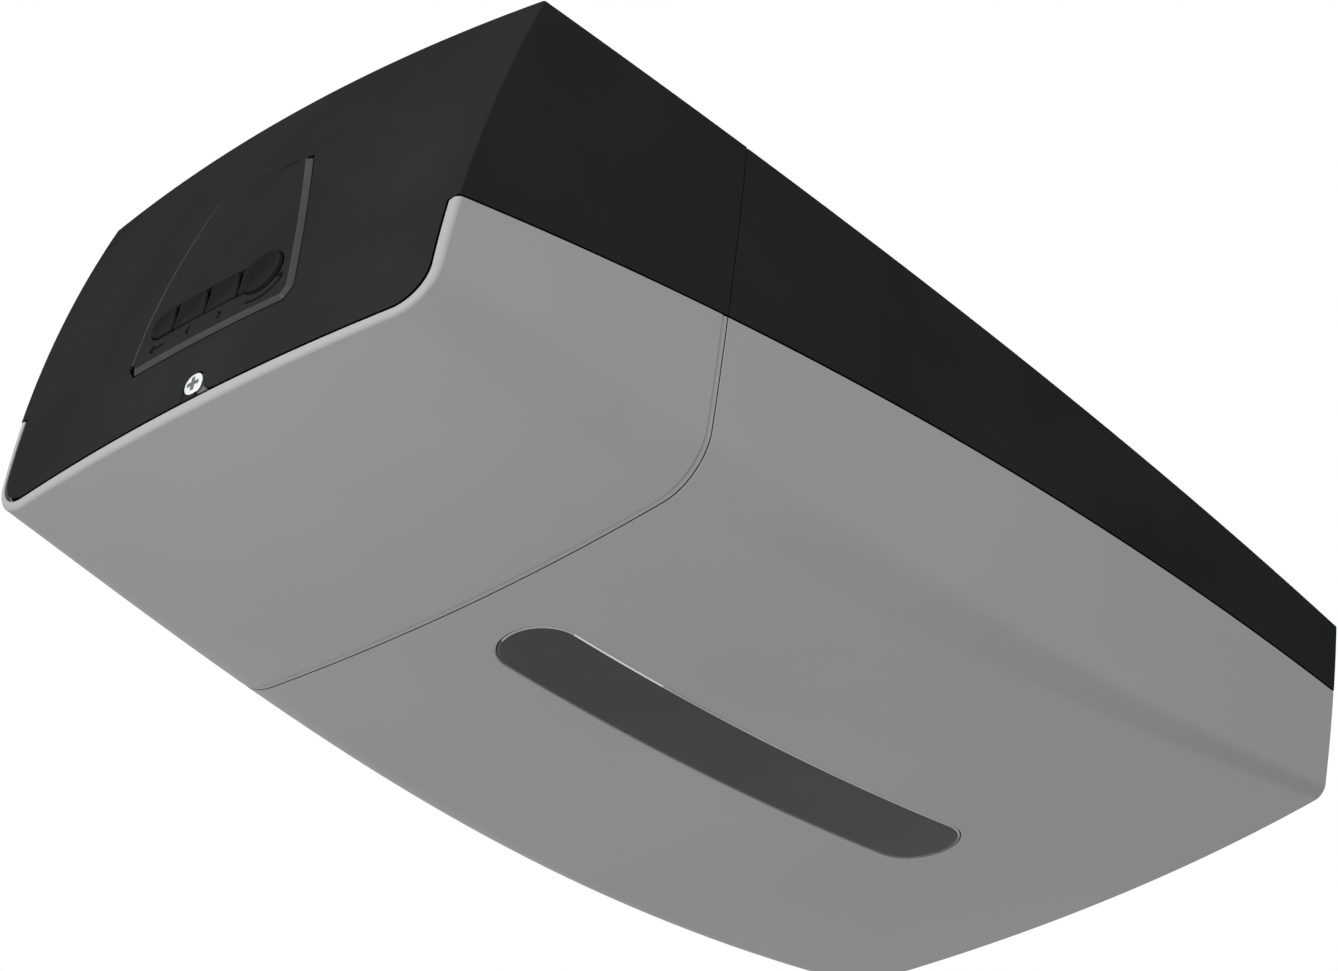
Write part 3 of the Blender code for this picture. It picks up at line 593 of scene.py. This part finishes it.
def black_rear_housing():
    surface = Surface()
    last = black_walls(surface, rear_v, -1, 24, NEAR_MIDDLE)
    grids = {}
    for layer, inset, depth in (("o", BLACK_FILLET, 0.0), ("i", WALL + INNER_RADIUS, WALL)):
        grid = []
        for i in range(BLACK_ROWS + 1):
            across = rear_line(surface, layer, i, depth, *black_wall_point(i, inset, 1))
            grid.append([(layer, last, i, 1)] + across + [(layer, last, i, -1)])
        for first, second in zip(grid, grid[1:]):
            surface.strip(first, second)
        grids[layer] = grid
    for i in (0, BLACK_ROWS):
        surface.strip(grids["o"][i], grids["i"][i])
    return surface.finish("housing_rear")


def black_front_housing():
    """The front length: two side walls and a face that runs down into the rounded control panel."""
    surface = Surface()
    last = black_walls(surface, front_v, 1, 14, NEAR_FRONT)
    straight, arc = 8, 12
    notch = split_z(NOTCH_V) - NOTCH_DROP
    centre_x, centre_z = PANEL_HALF - PANEL_CORNER, PANEL_BOTTOM + PANEL_CORNER
    lower = [(notch + (centre_z - notch) * n / straight, PANEL_HALF, 0.0) for n in range(1, straight + 1)]
    for n in range(1, arc + 1):
        angle = math.pi / 2 * n / arc
        lower.append((centre_z - PANEL_CORNER * math.sin(angle), centre_x + PANEL_CORNER * math.cos(angle),
                      math.sin(angle) ** 2))
    grids = {}
    for layer in "oi":
        depth = 0.0 if layer == "o" else WALL
        grid = []
        for i in range(BLACK_ROWS + 1):
            z = notch * i / BLACK_ROWS
            line = [(layer, last, i, 1)]
            for j in range(COLUMNS + 1):
                x = PANEL_HALF * (1 - 2 * j / COLUMNS)
                surface.add((layer, "f", i, j), (x, front_v(x, z) + depth + FRONT_Y, z))
                line.append((layer, "f", i, j))
            line.append((layer, last, i, -1))
            grid.append(line)
        for first, second in zip(grid, grid[1:]):
            surface.strip(first, second)
        low_grid = [grid[-1][1:-1]]
        for n, (z0, half, crown) in enumerate(lower):
            line = []
            for j in range(COLUMNS + 1):
                share = 1 - 2 * j / COLUMNS
                x = half * share
                z = z0 - PANEL_CROWN * (1 - share * share) * crown
                surface.add((layer, "l", n, j), (x, front_v(x, z) + depth + FRONT_Y, z))
                line.append((layer, "l", n, j))
            low_grid.append(line)
        for first, second in zip(low_grid, low_grid[1:]):
            surface.strip(first, second)
        grids[layer] = (grid, low_grid)
    (grid_o, low_o), (grid_i, low_i) = grids["o"], grids["i"]
    surface.strip(grid_o[0], grid_i[0])
    surface.strip(grid_o[-1][:2], grid_i[-1][:2])
    surface.strip(grid_o[-1][-2:], grid_i[-1][-2:])
    surface.strip([line[0] for line in low_o], [line[0] for line in low_i])
    surface.strip([line[-1] for line in low_o], [line[-1] for line in low_i])
    surface.strip(low_o[-1], low_i[-1])
    return surface.finish("housing_front")


def bezel_outline():
    """Shield shape: narrow arched top, sides that spread downwards, small lower corners."""
    corner_rise, corner_run = 0.0042, 0.0028
    steps = 12
    right = []
    for n in range(steps + 1):
        z = BEZEL_TOP + (BEZEL_BOTTOM + corner_rise - BEZEL_TOP) * n / steps
        right.append((polynomial(BEZEL_HALF, z - BEZEL_MIDDLE), z))
    right.append((right[-1][0] - corner_run, BEZEL_BOTTOM))
    left = [(-x, z) for x, z in reversed(right)]
    arch = [(x, BEZEL_TOP + BEZEL_ARCH * (1 - (x / BEZEL_ARCH_HALF) ** 2))
            for x in (-0.0133, -0.0066, 0.0, 0.0066, 0.0133)]
    return right + left + arch


def on_front(a, b, depth):
    """The point at x and z that lies depth behind the front face."""
    return (a, front_v(a, b) + FRONT_Y + depth, b)


def behind_front(depth):
    return lambda a, b: front_v(a, b) + FRONT_Y + depth


def on_bottom(a, b, depth):
    """The point at x and y that lies depth above the bottom face."""
    return (a, b, bottom_z(a, b - FRONT_Y) + depth)


def lean_at(z):
    """How far the front face moves back for each metre up, in the middle."""
    return FRONT_LEAN[0] + 2 * FRONT_LEAN[1] * z + (FRONT_BOW_BOTTOM - FRONT_BOW_TOP) / DEPTH[0]


def panel_frame():
    """Origin on the panel face at the keys, local +Y into the body, local +Z up the panel."""
    slope = lean_at(KEY_Z)
    origin = Vector((0.0, FRONT_Y + front_v(0.0, KEY_Z), KEY_Z))
    return Matrix.Translation(origin) @ Matrix.Rotation(-math.atan(slope), 4, "X")


def on_panel(obj):
    obj.data.transform(panel_frame())
    return obj


def key_slot(grow):
    """Cutter for the hole that the four keys share: a slot with one round end and a disc at the other."""
    half = KEY_HALF_HEIGHT + grow
    end = circle(half, 24, (KEY_LEFT, 0.0), math.pi / 2, math.pi)
    slot = prism("key_slot", end + [(0.0150, -half), (0.0150, half)], "Y", -0.010, 0.010)
    ring = prism("enter_slot", circle(ENTER_RADIUS + grow, 64, (ENTER_X, 0.0)), "Y", -0.012, 0.012)
    return on_panel(boolean(slot, ring, "UNION"))


def scallop(half, flare, low, foot):
    """Round over the screw; on the +X side it sweeps out to a wide foot."""
    top = -0.1236
    sweep = []
    for n in range(9):
        angle = math.pi / 2 * n / 8
        sweep.append((half + (flare - half) * (1 - math.cos(angle)), top + (low - top) * math.sin(angle)))
    return [(-half, foot), (flare, foot)] + sweep[::-1] + circle(half, 24, (0.0, SCREW_Z), 0, math.pi)


def screw_bore(radius, segments):
    return prism("bore", circle(radius, segments, (SCREW_X, SCREW_Z)), "Y", *CUT)


def lens_outline(grow, steps=22, side_steps=44):
    """A long slot with flattened ends, seen from below, with grow added all round."""
    half = LENS_HALF_WIDTH + grow
    start, end = FRONT_Y + LENS_V[0] - grow, FRONT_Y + LENS_V[1] + grow
    front_end = circle(half, steps, start=math.pi, sweep=math.pi)
    rear_end = circle(half, steps, sweep=math.pi)
    outline = [(x, start + (half + y) * LENS_SQUASH) for x, y in front_end]
    outline += [(x, end - (half - y) * LENS_SQUASH) for x, y in rear_end]
    return divided(outline, ([1] * steps + [side_steps]) * 2)


# ---------------------------------------------------------------- materials
def material(name, colour, roughness, metallic=0.0, specular=0.5, grain=900.0, bump=0.00002, tint=0.06,
             rough_swing=0.06, cloud=18.0, stretch=(1.0, 1.0, 1.0)):
    """A surface whose colour drifts slowly, and whose gloss and relief follow a fine grain."""
    made = bpy.data.materials.new(name)
    made.use_nodes = True
    nodes, links = made.node_tree.nodes, made.node_tree.links
    shader = nodes["Principled BSDF"]
    shader.inputs["Metallic"].default_value = metallic
    shader.inputs["Specular IOR Level"].default_value = specular
    where = nodes.new("ShaderNodeTexCoord")
    mapping = nodes.new("ShaderNodeMapping")
    mapping.inputs["Scale"].default_value = stretch
    links.new(where.outputs["Object"], mapping.inputs["Vector"])

    clouds = nodes.new("ShaderNodeTexNoise")
    clouds.inputs["Scale"].default_value = cloud
    clouds.inputs["Detail"].default_value = 4.0
    links.new(mapping.outputs["Vector"], clouds.inputs["Vector"])
    ramp = nodes.new("ShaderNodeValToRGB")
    low = [c * (1 - tint) for c in colour]
    high = [min(1.0, c * (1 + tint)) for c in colour]
    ramp.color_ramp.elements[0].position = 0.35
    ramp.color_ramp.elements[0].color = (*low, 1)
    ramp.color_ramp.elements[1].position = 0.65
    ramp.color_ramp.elements[1].color = (*high, 1)
    links.new(clouds.outputs["Fac"], ramp.inputs["Fac"])
    links.new(ramp.outputs["Color"], shader.inputs["Base Color"])

    fine = nodes.new("ShaderNodeTexNoise")
    fine.inputs["Scale"].default_value = grain
    fine.inputs["Detail"].default_value = 3.0
    fine.inputs["Roughness"].default_value = 0.6
    links.new(mapping.outputs["Vector"], fine.inputs["Vector"])
    swing = nodes.new("ShaderNodeMapRange")
    swing.inputs["To Min"].default_value = max(0.02, roughness - rough_swing)
    swing.inputs["To Max"].default_value = min(1.0, roughness + rough_swing)
    links.new(fine.outputs["Fac"], swing.inputs["Value"])
    links.new(swing.outputs["Result"], shader.inputs["Roughness"])
    relief = nodes.new("ShaderNodeBump")
    relief.inputs["Strength"].default_value = 0.6
    relief.inputs["Distance"].default_value = bump
    links.new(fine.outputs["Fac"], relief.inputs["Height"])
    links.new(relief.outputs["Normal"], shader.inputs["Normal"])
    return made


BLACK = material("black_abs", (0.0102, 0.0110, 0.0107), 0.5, specular=0.0, grain=1400, bump=0.00003, tint=0.10)
# Painted highlight: a lighter black that stands for light on the bezel's bevel strips.
BEVEL = material("black_abs_painted_highlight", (0.0215, 0.0222, 0.0220), 0.4, specular=0.05, grain=1400, tint=0.1)
GREY = material("grey_abs", (0.168, 0.171, 0.170), 0.46, specular=0.06, grain=1300, bump=0.000018, tint=0.02,
                cloud=9.0)
# Painted shade: a darker grey for the cover's tongue behind the screw, as if shaded.
PAINTED_PAD_SHADE = material("grey_abs_painted_shade", (0.047, 0.049, 0.049), 0.5, specular=0.1, grain=1300, bump=0.000018, tint=0.04)
KEYS = material("key_rubber", (0.0052, 0.0052, 0.0053), 0.5, specular=0.01, grain=2200, bump=0.00003, tint=0.1)
LENS = material("smoke_lens", (0.0298, 0.0298, 0.0306), 0.2, specular=0.03, grain=260, bump=0.000004, tint=0.04,
                rough_swing=0.03, cloud=30.0)
# Painted light on the lens's bevel: a painted highlight, a painted shade and a brighter painted glint.
LENS_RIM_HIGHLIGHT = material("lens_rim_painted_highlight", (0.235, 0.24, 0.245), 0.25, grain=600, bump=0.000004, tint=0.1)
LENS_SHADE = material("lens_rim_painted_shade", (0.062, 0.063, 0.064), 0.3, specular=0.1, grain=600, bump=0.000004,
                      tint=0.1)
LENS_GLINT = material("lens_rim_painted_glint", (0.46, 0.47, 0.48), 0.2, grain=600, bump=0.000004, tint=0.1)
# Painted shadow: near-black for faces that stand in narrow gaps.
PAINTED_GAP_SHADE = material("gap_shade", (0.0016, 0.0016, 0.0016), 0.6, specular=0.0, tint=0.1)
# Painted highlight: a lighter black for a ridge on the bezel's left edge.
RIDGE_HIGHLIGHT = material("black_abs_painted_ridge_highlight", (0.043, 0.044, 0.044), 0.4, specular=0.05, grain=1400, tint=0.1)
MARK = material("pad_print", (0.0034, 0.0034, 0.0034), 0.55, specular=0.0, grain=3000, bump=0.00001)
ZINC = material("bright_zinc", (0.83, 0.84, 0.85), 0.27, 1.0, grain=700, bump=0.000012, tint=0.05, cloud=120.0)
STEEL = material("galvanised", (0.58, 0.60, 0.61), 0.34, 1.0, grain=420, tint=0.10, cloud=60.0,
                 rough_swing=0.10)
CASTING = material("die_cast", (0.46, 0.47, 0.48), 0.46, 1.0, grain=1100, bump=0.00008, tint=0.08, cloud=40.0)
BRONZE = material("sintered_bronze", (0.45, 0.28, 0.12), 0.38, 1.0, grain=1500, bump=0.00003, tint=0.1)
COPPER = material("enamelled_copper", (0.52, 0.20, 0.07), 0.30, 1.0, grain=60, bump=0.0003, tint=0.15,
                  stretch=(1.0, 1.0, 22.0))
IRON = material("lacquered_iron", (0.05, 0.05, 0.055), 0.42, 0.6, grain=50, bump=0.0002, tint=0.15,
                stretch=(30.0, 1.0, 1.0))
BOARD = material("solder_mask", (0.010, 0.085, 0.035), 0.30, grain=160, bump=0.00003, tint=0.25, cloud=120.0)
WHITE_BOARD = material("white_mask", (0.62, 0.62, 0.60), 0.35, grain=300, tint=0.05)
BLUE = material("relay_plastic", (0.012, 0.045, 0.21), 0.38, tint=0.08)
GREEN = material("terminal_plastic", (0.02, 0.20, 0.06), 0.42, tint=0.08)
SLEEVE = material("capacitor_sleeve", (0.012, 0.014, 0.03), 0.25, grain=500, bump=0.00001, tint=0.2)
NYLON = material("natural_nylon", (0.66, 0.62, 0.50), 0.42, grain=700, tint=0.05)
RUBBER = material("grommet_rubber", (0.012, 0.012, 0.012), 0.62, grain=1500, bump=0.00004, tint=0.15)
CERAMIC = material("led_ceramic", (0.75, 0.72, 0.45), 0.35, bump=0.00001, tint=0.1)
# Painted shade: a dark zinc for the inside of the screw's cross recess.
RECESS = material("shadowed_zinc", (0.05, 0.06, 0.06), 0.6, 0.3)
DARK = material("dark_plastic", (0.015, 0.015, 0.016), 0.45, specular=0.35, grain=1200, tint=0.12)


def dress(obj, made, slot, *more):
    """Gives the piece its look; slot is not used. more holds looks that single faces may take by index."""
    obj.data.materials.clear()
    for look in (made, *more):
        obj.data.materials.append(look)


def shade_edges(obj):
    """Paints shade on the housing's lower edges and the sides of the panel, which stand in a narrow gap:
    near-black faces.
    """
    panel_depth, panel_below, margin = 0.0045, -0.0655, 0.001
    for face in obj.data.polygons:
        normal, centre = face.normal, face.center
        on_face = centre.y < front_v(centre.x, centre.z) + FRONT_Y + panel_depth
        in_panel = on_face and centre.z < panel_below and abs(centre.x) < PANEL_HALF + margin
        if normal.z < -0.7 or (in_panel and abs(normal.y) < 0.45):
            face.material_index = 1


def lens_rim_look(normal, along):
    """Index of the look on the lens's bevel: painted shade towards -X, a painted glint on a short stretch, else a
    painted highlight.
    """
    if normal.x < (-0.25 if along < 0.5 else 0.1):
        return 2
    return 3 if 0.07 < along < 0.27 else 1


def bezel_rim_look(centre, normal):
    """Index of the look on the bezel's bevel: painted shade at two corner notches, a painted highlight on the
    left ridge, a plain arch, else a softer painted highlight.
    """
    corners = [(0.0205, BEZEL_TOP), (-0.0324, BEZEL_BOTTOM + 0.0021)]
    if min(math.hypot(centre.x - x, centre.z - z) for x, z in corners) < 0.0023:
        return 2
    if centre.x < -0.015 and normal.x < -0.1:
        return 3
    return 0 if centre.z > BEZEL_TOP - 0.003 and centre.x < 0.017 else 1


# ---------------------------------------------------------------- shells in place
front = black_front_housing()
shield = ring_family(bezel_outline(), 0.0024, 0.003)
hole = ring_family(bezel_outline(), 0.0004, 0.003)
boolean(front, prism("bezel_hole", hole(-GAP), "Y", *CUT))
slot = scallop(half=0.0042, flare=0.0092, low=SCREW_SLOT_LOW, foot=-0.1330)
boolean(front, prism("screw_slot", slot, "Y", *CUT))
dress(front, BLACK, "black_plastic", PAINTED_GAP_SHADE)
# Painted shade: downward faces and the panel's side faces take the near-black gap shade.
shade_edges(front)
soften(front, 0.0003)
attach(front, "chassis")
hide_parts("front_housing")

rear = black_rear_housing()
dress(rear, BLACK, "black_plastic", PAINTED_GAP_SHADE)
# Painted shade: downward faces take the near-black gap shade.
shade_edges(rear)
soften(rear, 0.0003)
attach(rear, "chassis")
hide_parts("rear_housing")

cover = soften(grey_front_cover(), 0.00025)
dress(cover, GREY, "grey_plastic")
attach(cover, "front_cover")
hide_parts("front_cover")

# The cover's tongue behind the screw slot: a painted-shade face, a painted-shadow step below it, a fill on its -X
# side.
for name, look, foot, depth in (("cover_screw_pad", PAINTED_PAD_SHADE, -0.1265, 0.0010),
                                ("cover_screw_tab", PAINTED_GAP_SHADE, -0.1290, 0.0040)):
    outline = [(0.0015, foot)] + scallop(half=0.0039, flare=0.0090, low=foot + 0.0003, foot=foot)[1:]
    pad = prism(name, outline, "Y", behind_front(depth), behind_front(PAD_BACK))
    boolean(pad, screw_bore(0.0022, 32))
    soften(pad, 0.0002)
    dress(pad, look, "grey_plastic")
    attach(pad, "front_cover")

corner_fill = [(-0.0040, SCREW_SLOT_LOW), (0.0013, SCREW_SLOT_LOW), (0.0013, SCREW_Z), (-0.0040, SCREW_Z)]
fill = prism("cover_screw_fill", corner_fill, "Y", behind_front(0.0001), behind_front(0.0050))
boolean(fill, screw_bore(0.0040, 48))
dress(fill, BLACK, "grey_plastic")
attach(fill, "front_cover")

tail = grey_rear_cover()
# (inset, depth) from above the lens down to the rounded mouth of its hole.
throat = [(0.0, 0.0080), (0.0, 0.0007), (-0.0001, 0.0004), (-0.0003, 0.0001), (-0.0006, -0.0003),
          (-0.0006, -0.0030)]
boolean(tail, plate("lens_hole", lambda inset: lens_outline(-inset), throat, [(0.5, -0.0030)], on_bottom,
                    LENS_CENTRE, (0.5,)))
soften(tail, 0.0004, 3)
dress(tail, GREY, "grey_plastic")
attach(tail, "rear_cover")
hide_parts("rear_cover")

lens_edge = [(0.0, LENS_RECESS + 0.0026), (0.0, LENS_RECESS + 0.0003), (0.0005, LENS_RECESS - 0.0001),
             (0.0009, LENS_FACE), (0.0016, LENS_FACE)]
lens_fill = [(scale, LENS_FACE) for scale in (0.85, 0.65, 0.45, 0.25, 0.08)]
lens = plate("lamp_lens", lambda inset: lens_outline(-LENS_GAP - inset), lens_edge, lens_fill, on_bottom,
             LENS_CENTRE, (0.1, 0.5, 0.9))
lens.data.shade_smooth()
lens.data.set_sharp_from_angle(angle=math.radians(25))
dress(lens, LENS, "smoke_lens", LENS_RIM_HIGHLIGHT, LENS_SHADE, LENS_GLINT)
# Painted light: the bevel's faces take the painted highlight, shade and glint by side and place.
for face in lens.data.polygons:
    across = math.hypot(face.normal.x, face.normal.y)
    along = (face.center.y - FRONT_Y - LENS_V[0]) / (LENS_V[1] - LENS_V[0])
    if 0.35 < across < 0.95 and face.normal.z < 0:
        face.material_index = lens_rim_look(face.normal, along)
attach(lens, "rear_cover")
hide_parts("light_lens")

# ---------------------------------------------------------------- control panel
bezel_edge = [(0.0, WALL), (0.0, 0.0001), (0.0001, -0.0001), (0.0014, 0.00014 - BEZEL_PROUD),
              (0.0019, -BEZEL_PROUD), (0.0026, -BEZEL_PROUD)]
bezel_fill = [(scale, -BEZEL_PROUD) for scale in (0.85, 0.7, 0.55, 0.4, 0.25, 0.1)]
bezel = plate("panel_bezel", shield, bezel_edge, bezel_fill, on_front, (0.0, -0.0740), (0.1, 0.4, 0.7, 0.9))
boolean(bezel, key_slot(KEY_GAP))
soften(bezel, 0.0002, 2, 20)
dress(bezel, BLACK, "black_plastic", BEVEL, PAINTED_GAP_SHADE, RIDGE_HIGHLIGHT)
# Painted light: the bevel's faces take painted highlights and, at two corners, painted shade.
facing = Vector((0.0, -1.0, lean_at(-0.075))).normalized()
for face in bezel.data.polygons:
    if 0.4 < face.normal.dot(facing) < 0.975:
        face.material_index = bezel_rim_look(face.center, face.normal)
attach(bezel, "chassis")
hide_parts("control_bezel")


def build_key(name, outline, centre_x, node, dish, proud=KEY_PROUD):
    """A key that stands proud of the panel, with a hollow of depth dish; its sides are near-black painted shade
    for the gap.
    """
    edge = [(0.0, 0.0043), (0.0, -0.0006), (0.00012, -0.0009), (0.0004, 0.00002 - proud), (0.0009, -proud)]
    fill = [(scale, dish * (1 - scale * scale) - proud) for scale in (0.9, 0.75, 0.6, 0.45, 0.3, 0.12)]
    ring_at = ring_family(outline, 0.0011, 0.0009)
    obj = plate(name, ring_at, edge, fill, lambda a, b, depth: (a, depth, b), (centre_x, 0.0), (0.3, 0.8))
    on_panel(obj)
    obj.data.shade_smooth()
    obj.data.set_sharp_from_angle(angle=math.radians(60))
    dress(obj, KEYS, "key_plastic", PAINTED_GAP_SHADE)
    # Painted shade: the key's steep sides take the near-black gap shade.
    for face in obj.data.polygons:
        face.material_index = 1 if abs(face.normal.y) < 0.3 else 0
    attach(obj, node)
    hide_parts(node)


half = KEY_HALF_HEIGHT
back = circle(half, 16, (KEY_LEFT, 0.0), math.pi / 2, math.pi)
back += [(-0.0165, -half), (-0.0165, -0.0020), (-0.0178, half)]
build_key("key_back", back, -0.0215, "button_back", 0.0005)
for name, x0, x1 in (("down", -0.0159, -0.0033), ("up", -0.0027, 0.0101)):
    leaning = [(x0 - 0.0002, -half), (x1, -half), (x1, -0.0020), (x1 - 0.0014, half), (x0, half)]
    build_key("key_" + name, leaning, (x0 + x1) / 2, "button_" + name, 0.0006)
web = [(0.0107, -half), (0.0150, -half), (0.0150, half), (0.0107, half)]
build_key("key_enter_web", web, 0.0129, "button_enter", 0.0)
disc = circle(ENTER_RADIUS + 0.0001, 48, (ENTER_X, 0.0))
build_key("key_enter", disc, ENTER_X, "button_enter", 0.0012, ENTER_PROUD)


def mark(name, strokes, width=0.0009):
    """Thin printed strokes on the bezel, each a short bar between two points."""
    surface = Surface()
    for s, (start, end) in enumerate(strokes):
        a, b = Vector(start), Vector(end)
        along = (b - a).normalized()
        across = Vector((-along.y, along.x)) * width / 2
        corners = [a + across, a - across, b - across, b + across]
        for layer, depth in enumerate((-BEZEL_PROUD - 0.00005, -BEZEL_PROUD + 0.0001)):
            for n, p in enumerate(corners):
                surface.add((s, layer, n), on_front(p.x, p.y, depth))
            surface.face(*[(s, layer, n) for n in range(4)])
        surface.strip([(s, 0, n % 4) for n in range(5)], [(s, 1, n % 4) for n in range(5)])
    obj = surface.finish(name)
    dress(obj, MARK, "black_plastic")
    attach(obj, "chassis")


def chevron(x, z, reach, turn):
    """Two strokes that meet at a point on the side that turn names."""
    return [((x - turn * reach / 2, z + reach), (x + turn * reach / 2, z)),
            ((x + turn * reach / 2, z), (x - turn * reach / 2, z - reach))]


mark("mark_back", [((-0.0244, LABEL_Z), (-0.0186, LABEL_Z))] + chevron(-0.0239, LABEL_Z, 0.0015, -1))
mark("mark_down", chevron(-0.0086, LABEL_Z, 0.0014, -1))
mark("mark_up", chevron(0.0046, LABEL_Z, 0.0014, 1))
bend = circle(0.0109, 10, (ENTER_X, KEY_Z), math.radians(-112), math.radians(82))
tip = (0.0284, -0.0930)
mark("mark_enter", list(zip(bend[:-1], bend[1:])) + [((0.0281, -0.0953), tip), ((0.0263, -0.0938), tip)])

# The screw's (radius, depth): the domed head, then the shank.
face_y = FRONT_Y + front_v(0.0, SCREW_Z)
profile = [(0.0, -0.0002), (0.0020, -0.00018), (0.0032, -0.0001), (0.0037, 0.0001), (0.0038, 0.0004),
           (0.0036, 0.0009), (0.0018, 0.0010), (0.0018, 0.0069), (0.0014, 0.0071), (0.0, 0.0071)]
profile = [(radius, face_y + depth) for radius, depth in profile]
screw = lathe("screw_cover", profile, (SCREW_X, SCREW_Z))
cross_long, cross_thick, cross_depth = 0.0024, 0.00075, 0.0007
for wide, tall in ((cross_long, cross_thick), (cross_thick, cross_long)):
    outline = [(SCREW_X + a * wide, SCREW_Z + b * tall) for a, b in ((-1, -1), (1, -1), (1, 1), (-1, 1))]
    boolean(screw, prism("cross", outline, "Y", face_y - 0.002, face_y + cross_depth))
dress(screw, ZINC, "bright_zinc", RECESS)
# Painted shade: the faces inside the cross take the dark zinc.
for face in screw.data.polygons:
    off_axis = math.hypot(face.center.x - SCREW_X, face.center.z - SCREW_Z)
    if 0.00005 < face.center.y - face_y < cross_depth + 0.00005 and off_axis < 0.0022:
        face.material_index = 1
soften(screw, 0.00006, 2, 40)
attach(screw, "front_cover")
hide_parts("cover_screw")

# ---------------------------------------------------------------- carried-over CAD nodes
# By the start of a node's name: its material and the radius of its edges. Replaced nodes have no entry.
LOOKS = {
    "top_plate": (STEEL, 0), "rail_bracket": (CASTING, 0.0004), "board_bracket": (STEEL, 0.0003),
    "lamp_bracket": (STEEL, 0.0003), "transformer_strap": (STEEL, 0.0003), "housing_screw": (ZINC, 0.0002),
    "cable_grommet": (RUBBER, 0.0003), "keypad_board": (BOARD, 0.0001), "control_board": (BOARD, 0.0001),
    "light_board": (WHITE_BOARD, 0.0001), "tact_switch": (DARK, 0.0001), "display_module": (DARK, 0.0003),
    "relay": (BLUE, 0.0005), "capacitor": (SLEEVE, 0.0004), "fuse_holder": (DARK, 0.0003),
    "terminal": (GREEN, 0.0003), "transformer_core": (IRON, 0.0004), "transformer_coil": (COPPER, 0.0015),
    "gearbox": (CASTING, 0.0008), "output_bush": (BRONZE, 0.0002), "worm_bearing": (ZINC, 0.0003),
    "motor_can": (STEEL, 0.0006), "motor_end_cap": (DARK, 0.0005), "magnet": (IRON, 0.0004),
    "brush_ring": (DARK, 0.0003), "encoder": (DARK, 0.0002), "worm_shaft": (ZINC, 0),
    "armature": (IRON, 0.0003), "commutator": (COPPER, 0), "worm_wheel": (NYLON, 0.0001),
    "output_shaft": (ZINC, 0.0004), "drive_sprocket": (STEEL, 0.0003), "led": (CERAMIC, 0.0003),
}
for name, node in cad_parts.items():
    prefix = max((p for p in LOOKS if name.startswith(p)), key=len, default=None)
    if prefix is None:
        continue
    look, edge = LOOKS[prefix]
    node.data.materials.clear()
    node.data.materials.append(look)
    node.data.shade_smooth()
    node.data.set_sharp_from_angle(angle=math.radians(35))
    if edge:
        soften(node, edge, 2, 38)

# ---------------------------------------------------------------- camera, light and room
# The turn from world axes to camera axes (x right, y down, z ahead), as an axis times its angle, and where the
# point with x, v and z of 0 lies in camera axes.
CAMERA_TURN = Vector((0.8253, 0.4294, -0.6345))
CAMERA_SHIFT = Vector((-0.2939, -0.3055, 5.4825)) * 0.36

camera_data = bpy.data.cameras.new("camera")
camera_data.sensor_width = 36.0
camera_data.lens = 176.4
camera_data.shift_x = -0.0057
camera_data.shift_y = -0.0008
camera_data.clip_start = 0.05
camera_data.clip_end = 900.0
camera = bpy.data.objects.new("camera", camera_data)
bpy.context.scene.collection.objects.link(camera)
to_camera = Matrix.Rotation(CAMERA_TURN.length, 3, CAMERA_TURN.normalized())
eye = Vector((0.0, FRONT_Y, 0.0)) - to_camera.transposed() @ CAMERA_SHIFT
axes = Matrix((to_camera[0], -to_camera[1], -to_camera[2])).transposed()
camera.matrix_world = Matrix.Translation(eye) @ axes.to_4x4()
bpy.context.scene.camera = camera

world = bpy.data.worlds.new("studio")
world.use_nodes = True
background = world.node_tree.nodes["Background"]
background.inputs["Color"].default_value = (1.0, 1.0, 1.0, 1.0)
background.inputs["Strength"].default_value = 1.0
bpy.context.scene.world = world


def area(name, place, target, size, power):
    """A round soft light at place that shines at target and isn't seen itself."""
    data = bpy.data.lights.new(name, "AREA")
    data.shape = "DISK"
    data.size = size
    data.energy = power
    lamp = bpy.data.objects.new(name, data)
    bpy.context.scene.collection.objects.link(lamp)
    lamp.location = place
    lamp.visible_camera = False
    lamp.rotation_euler = (Vector(target) - Vector(place)).to_track_quat("-Z", "Y").to_euler()


area("key", (0.4, -2.65, -0.45), (0.0, -0.1, -0.06), 1.4, 131)
area("side", (2.34, 0.0, 1.1), (0.0, 0.0, -0.06), 1.2, 19)
area("below", (-1.17, 0.0, -2.4), (0.0, 0.0, -0.06), 1.2, 24)
bpy.context.scene.view_settings.view_transform = "Standard"

# The head hangs near the ceiling, so the floor is far below, and its edges are out of every view.
FLOOR_Z, FLOOR_HALF = -4.0, 300
floor_corners = [(a * FLOOR_HALF, b * FLOOR_HALF) for a, b in ((-1, -1), (1, -1), (1, 1), (-1, 1))]
floor = prism("floor", floor_corners, "Z", FLOOR_Z - 0.02, FLOOR_Z)
floor_look = material("pale_floor", (0.92, 0.92, 0.915), 0.8, specular=0.1, grain=40, bump=0.0002, tint=0.01,
                      cloud=2.0)
floor.data.materials.append(floor_look)
